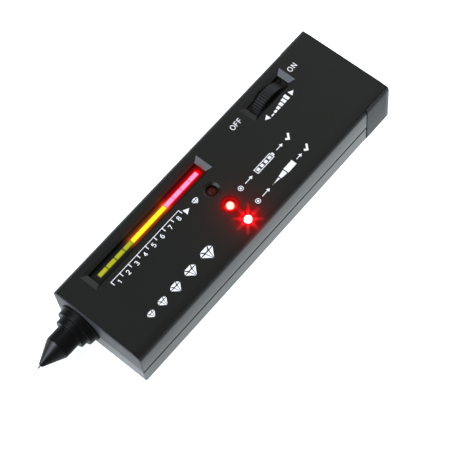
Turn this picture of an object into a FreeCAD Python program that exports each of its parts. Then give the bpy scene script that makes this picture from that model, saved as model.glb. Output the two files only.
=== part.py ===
import FreeCAD, Part
import math
import os
import re
import Sketcher

# Pocket diamond tester: a flat hand-held case with a sprung probe in a stepped nose,
# a row of bar lights in a sunk window, three round lamps, a thumbwheel that switches
# on and sets the level, and a battery cover that slides off the rear end.
# Lengths are millimetres. Each piece is drawn with X measured backwards from the front
# face of the case, Y across (positive on the wheel's side) and Z up from the table,
# and its Placement moves it by front_x, so that the whole object is centred on X.

SIZES = {
    # case
    "front_x": -65.375,
    "case_len": 156.0,
    "case_half": 23.5,
    "case_high": 25.3,
    "edge_round": 4.0,
    "face_round": 0.5,
    "part_level": 11.4,
    "part_gap": 0.05,
    "groove_high": 1.3,
    "groove_deep": 0.5,
    "lower_inset": 0.05,
    "lower_inner": 21.1,
    "foot_round": 2.0,
    "wall_thick": 2.0,
    "top_thick": 2.0,
    "floor_thick": 1.8,
    "seam_x": 141.6,
    "plate_half": 22.4,
    "lip_front": 13.0,
    "lip_rear": 134.0,
    "lip_rear_short": 92.0,
    "lip_inner": 20.1,
    "lip_thick": 1.2,
    "lip_low": 9.0,
    "lip_tall": 3.9,
    # display window and wheel slot: outer edge of the bevel, then the opening
    "window_front": 11.1,
    "window_rear": 81.6,
    "slot_front": 109.0,
    "slot_rear": 135.2,
    "trough_low": 9.5,
    "trough_high": 18.4,
    "bevel_end": 2.75,
    "bevel_side": 1.4,
    "bevel_deep": 1.2,
    # lights
    "light_row": 13.95,
    "light_first": 16.8,
    "light_pitch": 5.0,
    "light_len": 4.86,
    "light_wide": 2.0,
    "light_top": 22.5,
    "lamp_x": 73.3,
    "lamp_first": 2.7,
    "lamp_pitch": 9.75,
    "lamp_round": 2.45,
    "lamp_hole": 2.65,
    "lamp_rim": 3.8,
    "lamp_rim_deep": 0.5,
    "lamp_top": 25.0,
    # posts, bosses and screws
    "post_round": 2.75,
    "post_low": 10.0,
    "boss_round": 3.6,
    "screw_front": 8.0,
    "screw_mid": 97.5,
    "screw_rear": 137.5,
    "screw_side": 18.2,
    "screw_wheel_side": 16.0,
    "pilot_round": 1.17,
    "shank_round": 1.15,
    "shank_hole": 1.3,
    "pilot_deep": 9.0,
    "head_round": 2.6,
    "head_hole": 2.9,
    "head_deep": 3.0,
    "board_post_round": 2.4,
    "board_pilot": 1.02,
    "board_pilot_deep": 4.0,
    # board
    "board_low": 13.9,
    "board_thick": 1.6,
    "board_front": 8.0,
    "board_rear": 100.8,
    "board_arm": 110.3,
    "board_half": 20.8,
    # battery bay and cover
    "battery_front": 108.2,
    "battery_long": 46.0,
    "battery_low": -21.0,
    "battery_wide": 26.4,
    "battery_thick": 17.5,
    "rib_front": 104.0,
    "rib_side": 5.7,
    "rib_thick": 0.8,
    "rib_tall": 10.2,
    "cover_front": 142.05,
    "cover_rear": 157.0,
    "cover_half": 23.6,
    "cover_inner": 21.7,
    "cover_round": 0.7,
    "rim_gap": 0.2,
    "tongue_front": 136.0,
    "tongue_inner": 20.0,
    "tongue_outer": 21.35,
    "tongue_low": 19.7,
    "tongue_wide": 3.2,
    # wheel
    "wheel_x": 122.4,
    "wheel_level": 15.7,
    "wheel_round": 10.3,
    "wheel_low": 11.8,
    "wheel_wide": 4.8,
    "ridge_count": 52,
    "ridge_deep": 0.45,
    "shaft_round": 3.0,
    "pot_round": 6.8,
    "pot_side": 6.9,
    "pot_thick": 4.2,
    "saddle_half": 5.0,
    # nose and probe, drawn about the probe's own axis
    "nose_side": 10.2,
    "nose_level": 12.2,
    "neck_round": 7.6,
    "neck_gap": 0.1,
    "flange_round": 9.3,
    "barrel_round": 5.5,
    "barrel_front": -14.4,
    "bore_round": 2.0,
    "bore_front": -18.0,
    "needle_round": 0.4,
    "needle_hole": 0.45,
    "needle_tip": -26.25,
    "slug_round": 1.92,
    "slug_rear": -10.0,
    # touch plate on the back
    "touch_front": 30.0,
    "touch_rear": 84.0,
    "touch_half": 9.0,
    "touch_sink": 0.6,
}

BAR_LIGHTS = 12
LIGHTS_PER_COLOUR = 4
CHIP_PITCH = 2.54

V = FreeCAD.Vector
doc = FreeCAD.newDocument("diamond_tester")
pieces = []


def make_sheet():
    """Write every driving size into the spreadsheet, one named cell each."""
    sheet = doc.addObject("Spreadsheet::Sheet", "sizes")
    for row, (word, size) in enumerate(SIZES.items(), start=1):
        sheet.set("A%d" % row, word)
        sheet.set("B%d" % row, str(size))
        sheet.setAlias("B%d" % row, word)
    doc.recompute()
    return sheet


def bound(text):
    """An expression in which every size's name points to its cell."""
    return re.sub(r"[a-z_]+", lambda word: "sizes." + word.group() if word.group() in SIZES
                  else word.group(), str(text))


def bind(item, **cells):
    """Tie properties of an object to expressions on the sheet."""
    for name, text in cells.items():
        item.setExpression(name, bound(text))
    return item


def put(item, x, y, z):
    """Place an object by three expressions."""
    for axis, text in zip("xyz", (x, y, z)):
        item.setExpression("Placement.Base." + axis, bound(text))
    return item


def piece(item, x="0", y="0", z="0"):
    """Register a finished sub-part and move it from the front-face frame to the part's."""
    item.Label = item.Name
    for axis, shift in zip("xyz", ("front_x + " + x, y, z)):
        path = ".Placement.Base." + axis
        drawn = dict(item.ExpressionEngine).get(path, "0")
        item.setExpression("Placement.Base." + axis, drawn + " + " + bound(shift))
    pieces.append(item)
    return item


# Solids from primitives

def box(name, low, high):
    """A block between two corners."""
    item = doc.addObject("Part::Box", name)
    spans = ["(%s) - (%s)" % (b, a) for a, b in zip(low, high)]
    bind(item, Length=spans[0], Width=spans[1], Height=spans[2])
    return put(item, *low)


TURNS = {
    "x": FreeCAD.Rotation(V(0, 1, 0), 90),
    "y": FreeCAD.Rotation(V(1, 0, 0), -90),
    "z": FreeCAD.Rotation(),
}


def rod(name, start, radius, length, along="z"):
    """A round bar from a start point, along one axis."""
    item = doc.addObject("Part::Cylinder", name)
    item.Placement = FreeCAD.Placement(V(), TURNS[along])
    bind(item, Radius=radius, Height=length)
    return put(item, *start)


def union(name, items):
    """Several solids grown into one."""
    item = doc.addObject("Part::MultiFuse", name)
    item.Shapes = items
    return item


def cut(name, base, tools):
    """A solid with other solids taken away."""
    item = doc.addObject("Part::Cut", name)
    item.Base = base
    item.Tool = union(name + "_tools", tools) if len(tools) > 1 else tools[0]
    return item


def group(name, items):
    """Separate solids kept under one name."""
    item = doc.addObject("Part::Compound", name)
    item.Links = items
    return item


# Solids from sketches

def new_body(name):
    return doc.addObject("PartDesign::Body", name)


def plane_sketch(body, name, plane, level):
    """An empty sketch on one of the body's own planes, lifted along the plane's normal."""
    sketch = body.newObject("Sketcher::SketchObject", name)
    planes = [item for item in body.Origin.OriginFeatures if item.Role == plane]
    sketch.AttachmentSupport = (planes[0], [""])
    sketch.MapMode = "FlatFace"
    sketch.setExpression("AttachmentOffset.Base.z", bound(level))
    return sketch


def pin_point(sketch, edge, point, across, up):
    """Hold one point of the sketch at two expressions from its origin."""
    for kind, text in (("DistanceX", across), ("DistanceY", up)):
        number = sketch.addConstraint(Sketcher.Constraint(kind, -1, 1, edge, point, 1.0))
        sketch.setExpression("Constraints[%d]" % number, bound(text))


def outline(body, name, plane, level, *loops):
    """A sketch of closed straight-sided loops, each a list of corners."""
    sketch = plane_sketch(body, name, plane, level)
    for corners in loops:
        first = sketch.GeometryCount
        count = len(corners)
        spots = [V(math.cos(math.tau * i / count), math.sin(math.tau * i / count), 0)
                 for i in range(count)]
        for i in range(count):
            sketch.addGeometry(Part.LineSegment(spots[i], spots[(i + 1) % count]))
        for i in range(count):
            follower = first + (i + 1) % count
            sketch.addConstraint(Sketcher.Constraint("Coincident", first + i, 2, follower, 1))
        for i, (across, up) in enumerate(corners):
            pin_point(sketch, first + i, 1, across, up)
    return sketch


def circles(body, name, plane, level, spots, radius):
    """A sketch of equal circles."""
    sketch = plane_sketch(body, name, plane, level)
    for across, up in spots:
        edge = sketch.addGeometry(Part.Circle(V(0, 0, 0), V(0, 0, 1), 1.0))
        number = sketch.addConstraint(Sketcher.Constraint("Radius", edge, 1.0))
        sketch.setExpression("Constraints[%d]" % number, bound(radius))
        pin_point(sketch, edge, 3, across, up)
    return sketch


def rectangle(x_low, x_high, y_low, y_high):
    return [(x_low, y_low), (x_high, y_low), (x_high, y_high), (x_low, y_high)]


def feature(body, kind, name, sketch, reverse=False, **cells):
    """A pad, pocket or turned feature on a sketch."""
    item = body.newObject("PartDesign::" + kind, name)
    item.Profile = sketch
    item.Reversed = reverse
    bind(item, **cells)
    return item


def turned(body, name, sketch, axis):
    """A full turn of a sketch about one of its own axes."""
    item = body.newObject("PartDesign::Revolution", name)
    item.Profile = sketch
    item.ReferenceAxis = (sketch, [axis])
    item.Angle = 360
    return item


def funnel(body, name, upper, lower):
    """A pocket that narrows from one sketch to the next."""
    item = body.newObject("PartDesign::SubtractiveLoft", name)
    item.Profile = upper
    item.Sections = [lower]
    item.Ruled = True
    return item


def edges_of(item, wanted):
    """Names of the edges for which wanted(edge) holds."""
    doc.recompute()
    return ["Edge%d" % number for number, edge in enumerate(item.Shape.Edges, start=1)
            if wanted(edge)]


def dressed(body, kind, name, base, wanted, **cells):
    """A fillet or chamfer on chosen edges."""
    chosen = edges_of(base, wanted)
    item = body.newObject("PartDesign::" + kind, name)
    item.Base = (base, chosen)
    bind(item, **cells)
    return item


def runs_along(edge, axis):
    """Whether an edge is a straight line along X, Y or Z."""
    if not isinstance(edge.Curve, Part.Line):
        return False
    return abs(getattr(edge.Curve.Direction, axis)) > 0.999


def near(value, wanted):
    return abs(value - wanted) < 0.001


# Places that several pieces share

SCREW_SPOTS = [
    ("screw_front", "-screw_side"),
    ("screw_front", "screw_side"),
    ("screw_mid", "-screw_side"),
    ("screw_rear", "screw_wheel_side"),
]
BOARD_SCREW_SPOTS = [("24", "-17"), ("24", "4.5"), ("90", "4.5")]
LAMP_SPOTS = [("lamp_x", "lamp_first - %d * lamp_pitch" % i) for i in range(3)]
BUZZER_SPOT = ("91", "-4")
SOUND_HOLES = [BUZZER_SPOT, ("88.5", "-4"), ("93.5", "-4"), ("91", "-6.5"), ("91", "-1.5")]
CONTACT_SPOT = ("58", "6")
BOARD_TOP = "board_low + board_thick"
CEILING = "case_high - top_thick"


# Case

def make_upper_shell():
    """Top plate with a rounded long edge each side, side walls and front wall."""
    body = new_body("upper_shell")
    block = feature(body, "Pad", "upper_block",
                    outline(body, "upper_plan", "XY_Plane", "part_level",
                            rectangle("0", "case_len", "-case_half", "case_half")),
                    Length="case_high - part_level")
    high = SIZES["case_high"]
    rounded = dressed(body, "Fillet", "upper_long_edges", block,
                      lambda edge: runs_along(edge, "x") and near(edge.CenterOfMass.z, high),
                      Radius="edge_round")
    dressed(body, "Fillet", "upper_face_edge", rounded,
            lambda edge: near(edge.CenterOfMass.x, 0) and edge.CenterOfMass.z > SIZES["part_level"] + 1,
            Radius="face_round")
    feature(body, "Pocket", "upper_hollow",
            outline(body, "upper_hollow_plan", "XY_Plane", CEILING,
                    rectangle("wall_thick", "case_len + 1", "wall_thick - case_half",
                              "case_half - wall_thick")),
            Length=CEILING + " - part_level")
    feature(body, "Pocket", "upper_rear_sides",
            outline(body, "upper_rear_plan", "XY_Plane", CEILING,
                    rectangle("seam_x", "case_len + 1", "-case_half - 1", "case_half + 1")),
            Length=CEILING + " - part_level")
    feature(body, "Pocket", "upper_plate_sides",
            outline(body, "upper_strip_plan", "XY_Plane", "case_high",
                    rectangle("seam_x", "case_len + 1", "plate_half", "case_half + 1"),
                    rectangle("seam_x", "case_len + 1", "-case_half - 1", "-plate_half")),
            Length="top_thick")
    for name in ("window", "slot"):
        make_trough(body, name)
    feature(body, "Pocket", "upper_nose_hole",
            circles(body, "upper_nose_plan", "YZ_Plane", "wall_thick + 0.5",
                    [("nose_side", "nose_level")], "neck_round + neck_gap"),
            Length="wall_thick + 1")
    posts = circles(body, "post_plan", "XY_Plane", CEILING, SCREW_SPOTS, "post_round")
    feature(body, "Pad", "posts", posts, reverse=True, Length=CEILING + " - post_low")
    board_posts = circles(body, "board_post_plan", "XY_Plane", CEILING, BOARD_SCREW_SPOTS,
                          "board_post_round")
    feature(body, "Pad", "board_posts", board_posts, reverse=True,
            Length=CEILING + " - (" + BOARD_TOP + ")")
    feature(body, "Pocket", "post_pilots",
            circles(body, "post_pilot_plan", "XY_Plane", "post_low + pilot_deep", SCREW_SPOTS,
                    "pilot_round"),
            Length="pilot_deep")
    feature(body, "Pocket", "board_post_pilots",
            circles(body, "board_pilot_plan", "XY_Plane", BOARD_TOP + " + board_pilot_deep",
                    BOARD_SCREW_SPOTS, "board_pilot"),
            Length="board_pilot_deep")
    feature(body, "Pocket", "lamp_holes",
            circles(body, "lamp_plan", "XY_Plane", "case_high", LAMP_SPOTS, "lamp_hole"),
            Length="top_thick")
    for number, spot in enumerate(LAMP_SPOTS, start=1):
        name = "lamp_rim_%d" % number
        upper = circles(body, name + "_upper", "XY_Plane", "case_high", [spot], "lamp_rim")
        lower = circles(body, name + "_lower", "XY_Plane", "case_high - lamp_rim_deep", [spot],
                        "lamp_hole")
        funnel(body, name, upper, lower)
    return piece(body)


def make_trough(body, name):
    """A bevelled opening through the top plate: the display window or the wheel slot."""
    front = name + "_front"
    rear = name + "_rear"
    inner = rectangle(front + " + bevel_end", rear + " - bevel_end",
                      "trough_low + bevel_side", "trough_high - bevel_side")
    upper = outline(body, name + "_rim_plan", "XY_Plane", "case_high",
                    rectangle(front, rear, "trough_low", "trough_high"))
    lower = outline(body, name + "_foot_plan", "XY_Plane", "case_high - bevel_deep", inner)
    funnel(body, name + "_bevel", upper, lower)
    feature(body, "Pocket", name + "_opening",
            outline(body, name + "_opening_plan", "XY_Plane", "case_high", inner),
            Length="top_thick")


def make_lower_shell():
    """Bottom tray, set in a little from the top shell, with bosses, lips and a battery rib."""
    body = new_body("lower_shell")
    half = "(case_half - lower_inset)"
    block = feature(body, "Pad", "lower_block",
                    outline(body, "lower_plan", "XY_Plane", "0",
                            rectangle("0", "seam_x", "-" + half, half)),
                    Length="part_level - part_gap")
    corners = dressed(body, "Fillet", "lower_front_corners", block,
                      lambda edge: runs_along(edge, "z") and near(edge.CenterOfMass.x, 0),
                      Radius="face_round")
    dressed(body, "Fillet", "lower_long_edges", corners,
            lambda edge: runs_along(edge, "x") and near(edge.CenterOfMass.z, 0),
            Radius="foot_round")
    groove_floor = "(case_half - lower_inset - groove_deep)"
    feature(body, "Pocket", "side_grooves",
            outline(body, "side_groove_plan", "XY_Plane", "part_level",
                    rectangle("-1", "seam_x + 1", groove_floor, "case_half"),
                    rectangle("-1", "seam_x + 1", "-case_half", "-" + groove_floor)),
            Length="groove_high")
    feature(body, "Pocket", "lower_hollow",
            outline(body, "lower_hollow_plan", "XY_Plane", "part_level",
                    rectangle("wall_thick", "seam_x + 1", "-lower_inner", "lower_inner")),
            Length="part_level - floor_thick")
    feature(body, "Pad", "lips",
            outline(body, "lip_plan", "XY_Plane", "lip_low",
                    rectangle("lip_front", "lip_rear", "lip_inner", "lip_inner + lip_thick"),
                    rectangle("lip_front", "lip_rear_short", "-lip_inner - lip_thick", "-lip_inner")),
            Length="lip_tall")
    feature(body, "Pad", "bosses",
            circles(body, "boss_plan", "XY_Plane", "floor_thick - 0.2", SCREW_SPOTS, "boss_round"),
            Length="post_low - floor_thick + 0.2")
    feature(body, "Pad", "battery_rib",
            outline(body, "rib_plan", "XY_Plane", "floor_thick - 0.2",
                    rectangle("rib_front", "seam_x - 0.5", "rib_side", "rib_side + rib_thick")),
            Length="rib_tall")
    feature(body, "Pad", "pot_saddle",
            outline(body, "saddle_plan", "XY_Plane", "floor_thick - 0.2",
                    rectangle("wheel_x - saddle_half", "wheel_x + saddle_half",
                              "rib_side + rib_thick - 0.2", "pot_side + pot_thick - 0.5")),
            Length="wheel_level - pot_round - floor_thick + 0.15")
    feature(body, "Pocket", "lower_nose_hole",
            circles(body, "lower_nose_plan", "YZ_Plane", "wall_thick + 0.5",
                    [("nose_side", "nose_level")], "neck_round + neck_gap"),
            Length="wall_thick + 1")
    feature(body, "Pocket", "shank_holes",
            circles(body, "shank_plan", "XY_Plane", "post_low + 0.5", SCREW_SPOTS, "shank_hole"),
            Length="post_low + 1")
    feature(body, "Pocket", "head_holes",
            circles(body, "head_plan", "XY_Plane", "head_deep", SCREW_SPOTS, "head_hole"),
            Length="head_deep")
    feature(body, "Pocket", "touch_recess",
            outline(body, "touch_plan", "XY_Plane", "touch_sink",
                    rectangle("touch_front", "touch_rear", "-touch_half", "touch_half")),
            Length="touch_sink")
    feature(body, "Pocket", "contact_hole",
            circles(body, "contact_plan", "XY_Plane", "floor_thick + 0.2", [CONTACT_SPOT], "1.2"),
            Length="floor_thick")
    feature(body, "Pocket", "sound_holes",
            circles(body, "sound_plan", "XY_Plane", "floor_thick + 0.2", SOUND_HOLES, "0.8"),
            Length="floor_thick + 0.5")
    return piece(body)


def make_battery_cover():
    """End cap that closes the battery bay and slides off to the rear."""
    body = new_body("battery_cover")
    proud = "(cover_half - case_half)"
    block = feature(body, "Pad", "cover_block",
                    outline(body, "cover_plan", "XY_Plane", "0",
                            rectangle("cover_front", "cover_rear", "-cover_half", "cover_half")),
                    Length="case_high + " + proud)
    high = SIZES["case_high"] + SIZES["cover_half"] - SIZES["case_half"]
    rounded = dressed(body, "Fillet", "cover_upper_edges", block,
                      lambda edge: runs_along(edge, "x") and near(edge.CenterOfMass.z, high),
                      Radius="edge_round + " + proud)
    footed = dressed(body, "Fillet", "cover_foot_edges", rounded,
                     lambda edge: runs_along(edge, "x") and near(edge.CenterOfMass.z, 0),
                     Radius="foot_round")
    dressed(body, "Fillet", "cover_rear_edge", footed,
            lambda edge: near(edge.CenterOfMass.x, SIZES["cover_rear"]),
            Radius="cover_round")
    feature(body, "Pocket", "cover_hollow",
            outline(body, "cover_hollow_plan", "XY_Plane", "case_high + 1",
                    rectangle("cover_front - 1", "cover_rear - wall_thick", "-cover_inner", "cover_inner")),
            Length="case_high + 1 - floor_thick")
    feature(body, "Pocket", "cover_plate_bed",
            outline(body, "cover_bed_plan", "XY_Plane", "case_high + 1",
                    rectangle("cover_front - 1", "cover_rear + 1", "-plate_half - rim_gap",
                              "plate_half + rim_gap")),
            Length="1 + top_thick + rim_gap")
    for sign, side in (("", "wheel"), ("-", "lamp")):
        far = sign + "tongue_inner"
        near_wall = sign + "tongue_outer"
        root = sign + "(cover_inner + 0.2)"
        feature(body, "Pad", side + "_side_tongue",
                outline(body, side + "_tongue_plan", "XY_Plane", "tongue_low",
                        [("tongue_front", far), ("cover_front + 8", far), ("cover_front + 8", root),
                         ("cover_front + 0.3", root), ("cover_front + 0.3", near_wall),
                         ("tongue_front", near_wall)]),
                Length="tongue_wide")
    feature(body, "Pad", "floor_tongue",
            outline(body, "floor_tongue_plan", "XZ_Plane", "-11.5",
                    [("tongue_front + 0.5", "floor_thick + 0.1"), ("cover_front + 0.3", "floor_thick + 0.1"),
                     ("cover_front + 0.3", "floor_thick - 0.1"), ("cover_front + 8", "floor_thick - 0.1"),
                     ("cover_front + 8", "floor_thick + 1.3"), ("tongue_front + 0.5", "floor_thick + 1.3")]),
            Length="4")
    return piece(body)


# Nose and probe

def make_nose_cone():
    """Flange behind the front wall, three stepped rings, barrel and cone, bored for the probe."""
    body = new_body("nose_cone")
    profile = outline(body, "nose_profile", "XZ_Plane", "0", [
        ("4.2", "bore_round"),
        ("4.2", "flange_round"),
        ("wall_thick + 0.1", "flange_round"),
        ("wall_thick + 0.1", "neck_round"),
        ("-0.02", "neck_round"),
        ("-0.02", "9.85"),
        ("-1", "9.75"),
        ("-1", "9.2"),
        ("-4", "9"),
        ("-4", "7.4"),
        ("-7.1", "7.2"),
        ("-7.1", "barrel_round"),
        ("barrel_front", "barrel_round"),
        ("-23.6", "1.1"),
        ("-24", "0.8"),
        ("-24", "needle_hole"),
        ("bore_front", "needle_hole"),
        ("bore_front", "bore_round"),
    ])
    turned(body, "nose_solid", profile, "H_Axis")
    return piece(body, y="nose_side", z="nose_level")


def make_probe_needle():
    """Thin metal tip that stands out of the cone and slides back against the spring."""
    shaft = rod("needle_shaft", ("needle_tip + 1", "0", "0"), "needle_round", "9", along="x")
    point = doc.addObject("Part::Cone", "needle_point")
    point.Placement = FreeCAD.Placement(V(), TURNS["x"])
    bind(point, Radius1="0.12", Radius2="needle_round", Height="1")
    put(point, "needle_tip", "0", "0")
    return piece(union("probe_needle", [shaft, point]), y="nose_side", z="nose_level")


def make_heater_slug():
    """Copper block that warms the needle and carries its rear end."""
    solid = rod("slug_round_bar", ("bore_front + 0.05", "0", "0"), "slug_round",
                "slug_rear - bore_front - 0.05", along="x")
    bore = rod("slug_bore", ("bore_front - 1", "0", "0"), "needle_round + 0.02",
               "needle_tip + 10.02 - bore_front + 1", along="x")
    return piece(cut("heater_slug", solid, [bore]), y="nose_side", z="nose_level")


def make_thermistor():
    bead = rod("thermistor", ("slug_rear", "0", "0"), "0.8", "1.8", along="x")
    return piece(bead, y="nose_side", z="nose_level")


def make_probe_spring():
    """Compression spring behind the slug, drawn as its plain envelope."""
    outer = rod("spring_outer", ("slug_rear", "0", "0"), "1.8", "-1 - slug_rear", along="x")
    inner = rod("spring_inner", ("slug_rear - 1", "0", "0"), "1.2", "2 - slug_rear", along="x")
    return piece(cut("probe_spring", outer, [inner]), y="nose_side", z="nose_level")


def make_probe_bush():
    """Plug that closes the nose bore and stops the spring."""
    outer = rod("bush_outer", ("-1", "0", "0"), "bore_round - 0.01", "5.2", along="x")
    inner = rod("bush_inner", ("-2", "0", "0"), "0.9", "8", along="x")
    return piece(cut("probe_bush", outer, [inner]), y="nose_side", z="nose_level")


def bent_wire(name, points, radius, bend):
    """A round wire along straight runs joined by arcs; prints its volume against its length."""
    edges = []
    length = 0
    start = points[0]
    for before, corner, after in zip(points, points[1:], points[2:]):
        back = (before - corner).normalize()
        ahead = (after - corner).normalize()
        half_turn = (math.pi - back.getAngle(ahead)) / 2
        reach = bend * math.tan(half_turn)
        entry = corner + back * reach
        leave = corner + ahead * reach
        middle_way = (back + ahead).normalize()
        centre = corner + middle_way * (bend / math.cos(half_turn))
        middle = centre - middle_way * bend
        edges.append(Part.LineSegment(start, entry).toShape())
        edges.append(Part.Arc(entry, middle, leave).toShape())
        length += (entry - start).Length + bend * 2 * half_turn
        start = leave
    edges.append(Part.LineSegment(start, points[-1]).toShape())
    length += (points[-1] - start).Length
    ring = Part.Wire(Part.Circle(points[0], points[1] - points[0], radius).toShape())
    item = doc.addObject("Part::Feature", name)
    item.Shape = Part.Wire(edges).makePipeShell([ring], True, True)
    print("%s: volume %.3f, section x length %.3f, bend %.2f" % (
        name, item.Shape.Volume, math.pi * radius ** 2 * length, bend))
    return item


def make_probe_leads():
    """Two thin wires from the probe's bush up to the board."""
    level = SIZES["nose_level"]
    rise = SIZES["board_low"] - level
    wires = []
    for number, aside in enumerate((-0.42, 0.42)):
        side = SIZES["nose_side"] + aside
        route = [V(-6.2, side, level), V(12, side, level), V(12, side, level + rise)]
        wires.append(bent_wire("probe_wire_%d" % number, route, 0.35, 0.45 * rise))
    return piece(group("probe_leads", wires))


# Lights

def make_bar_lights(name, first):
    """Four flat lights of one colour, each with two legs through the board."""
    lights = []
    for number in range(first, first + LIGHTS_PER_COLOUR):
        start = "light_first + %d * light_pitch" % number
        stem = "%s_%d" % (name, number)
        lens = box(stem + "_lens", (start, "light_row - light_wide / 2", BOARD_TOP),
                   (start + " + light_len", "light_row + light_wide / 2", "light_top"))
        legs = [rod("%s_leg_%d" % (stem, leg), (start + " + " + reach, "light_row", "board_low - 1.2"),
                    "0.25", "board_thick + 1.4")
                for leg, reach in enumerate(("1.16", "3.7"))]
        lights.append(union(stem, [lens] + legs))
    return piece(group(name, lights))


def make_led_mask():
    """Black holder under the window with a slot that the bar lights fill."""
    block = box("mask_block", ("window_front + 0.8", "trough_low + 0.1", "19.5"),
                ("window_rear - 0.9", "trough_high - 0.1", CEILING))
    tray = box("mask_tray", ("window_front + 2.3", "trough_low + 1", "light_top - 0.2"),
               ("window_rear - 2.4", "trough_high - 1", "case_high"))
    slot = box("mask_slot", ("light_first - 0.1", "light_row - light_wide / 2 - 0.05", "19"),
               ("light_first + %d * light_pitch" % BAR_LIGHTS, "light_row + light_wide / 2 + 0.05",
                "case_high"))
    return piece(cut("led_mask", block, [tray, slot]))


def make_lamp(name, spot):
    """Five millimetre lamp: flange, barrel, dome and two legs."""
    x, y = spot
    base = BOARD_TOP + " + 0.5"
    flange = rod(name + "_flange", (x, y, base), "2.9", "1")
    barrel = rod(name + "_barrel", (x, y, base), "lamp_round", "lamp_top - lamp_round - (" + base + ")")
    dome = bind(doc.addObject("Part::Sphere", name + "_dome"), Radius="lamp_round")
    put(dome, x, y, "lamp_top - lamp_round")
    legs = [rod("%s_leg_%d" % (name, leg), (x + reach, y, "board_low - 1.2"), "0.25",
                "board_thick + 2")
            for leg, reach in enumerate((" - 1.27", " + 1.27"))]
    return piece(union(name, [flange, barrel, dome] + legs))


# Board and its parts

def leg_spots():
    """Where the lights' legs pass through the board."""
    spots = [("light_first + %d * light_pitch + %s" % (number, reach), "light_row")
             for number in range(BAR_LIGHTS) for reach in ("1.16", "3.7")]
    for x, y in LAMP_SPOTS:
        spots += [(x + " - 1.27", y), (x + " + 1.27", y)]
    return spots


def make_main_board():
    """Board under the top plate, with an arm beside the battery that carries the wheel's pot."""
    body = new_body("main_board")
    feature(body, "Pad", "board_plate",
            outline(body, "board_plan", "XY_Plane", "board_low",
                    [("board_front", "-board_half"), ("board_rear", "-board_half"), ("board_rear", "6.8"),
                     ("board_arm", "6.8"), ("board_arm", "board_half"), ("board_front", "board_half")]),
            Length="board_thick")
    for name, spots, radius in (("post", SCREW_SPOTS[:3], "post_round + 0.3"),
                                ("board_screw", BOARD_SCREW_SPOTS, "1.2"),
                                ("leg", leg_spots(), "0.4")):
        feature(body, "Pocket", name + "_holes",
                circles(body, name + "_hole_plan", "XY_Plane", BOARD_TOP + " + 0.5", spots, radius),
                Length="board_thick + 1")
    return piece(body)


def make_chip(name, x, y, leg_pairs):
    """A black block on two rows of legs."""
    length = CHIP_PITCH * leg_pairs
    width = 6.4
    base = BOARD_TOP + " + 0.5"
    far_corner = (str(x + length), str(y + width), base + " + 3.3")
    parts = [box(name + "_block", (str(x), str(y), base), far_corner)]
    for number in range(leg_pairs):
        left = x + CHIP_PITCH * (number + 0.5) - 0.25
        for row, (side, outer) in enumerate(((y - 0.6, y + 0.1), (y + width - 0.1, y + width + 0.6))):
            parts.append(box("%s_leg_%d_%d" % (name, number, row), (str(left), str(side), BOARD_TOP),
                             (str(left + 0.5), str(outer), base + " + 1.6")))
    return piece(union(name, parts))


def make_capacitors():
    spots = [("18", "-2"), ("18", "-10"), ("84.5", "-15.5")]
    cans = [rod("capacitor_%d" % i, (x, y, BOARD_TOP), "2.5", "6.5") for i, (x, y) in enumerate(spots)]
    return piece(group("capacitors", cans))


def make_resistors():
    """Axial resistors lying on the board in two columns."""
    items = []
    for column, start in enumerate((33, 47)):
        for row in range(4):
            side = str(-9.5 - 2.7 * row)
            stem = "resistor_%d_%d" % (column, row)
            wire = rod(stem + "_wire", (str(start), side, BOARD_TOP + " + 1.15"), "0.3", "10.2", along="x")
            shell = rod(stem + "_shell", (str(start + 2), side, BOARD_TOP + " + 1.15"), "1.15", "6.2",
                        along="x")
            items.append(union(stem, [wire, shell]))
    return piece(group("resistors", items))


def make_trimmers():
    items = []
    for number, side in enumerate((-17, -8)):
        block = box("trimmer_%d_block" % number, ("61", str(side), BOARD_TOP),
                    ("67.6", str(side + 6.6), BOARD_TOP + " + 4.5"))
        slot = box("trimmer_%d_slot" % number, ("62.8", str(side + 3.1), BOARD_TOP + " + 4"),
                   ("65.8", str(side + 3.5), BOARD_TOP + " + 5"))
        items.append(cut("trimmer_%d" % number, block, [slot]))
    return piece(group("trimmers", items))


def make_buzzer():
    """Round sounder hung under the board, open downwards."""
    x, y = BUZZER_SPOT
    can = rod("buzzer_can", (x, y, "5.4"), "6", "board_low - 5.4")
    mouth = rod("buzzer_mouth", (x, y, "5"), "1", "2")
    return piece(cut("buzzer", can, [mouth]))


# Wheel and pot

def make_pot_body():
    """Body of the switched potentiometer, with three flat lugs on the board's arm."""
    can = rod("pot_can", ("wheel_x", "pot_side", "wheel_level"), "pot_round", "pot_thick", along="y")
    lugs = [box("pot_lug_%d" % i, ("board_arm - 1.7", str(side), BOARD_TOP),
                ("wheel_x - 5", str(side + 0.8), BOARD_TOP + " + 0.4"))
            for i, side in enumerate((7.3, 8.7, 10.1))]
    bore = rod("pot_bore", ("wheel_x", "8", "wheel_level"), "shaft_round + 0.05", "6", along="y")
    return piece(cut("pot_body", union("pot_solid", [can] + lugs), [bore]))


def make_pot_shaft():
    bar = rod("shaft_bar", ("wheel_x", "8.2", "wheel_level"), "shaft_round", "7.2", along="y")
    thread = rod("shaft_thread", ("wheel_x", "11.4", "wheel_level"), "1.02", "5", along="y")
    return piece(cut("pot_shaft", bar, [thread]))


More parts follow.
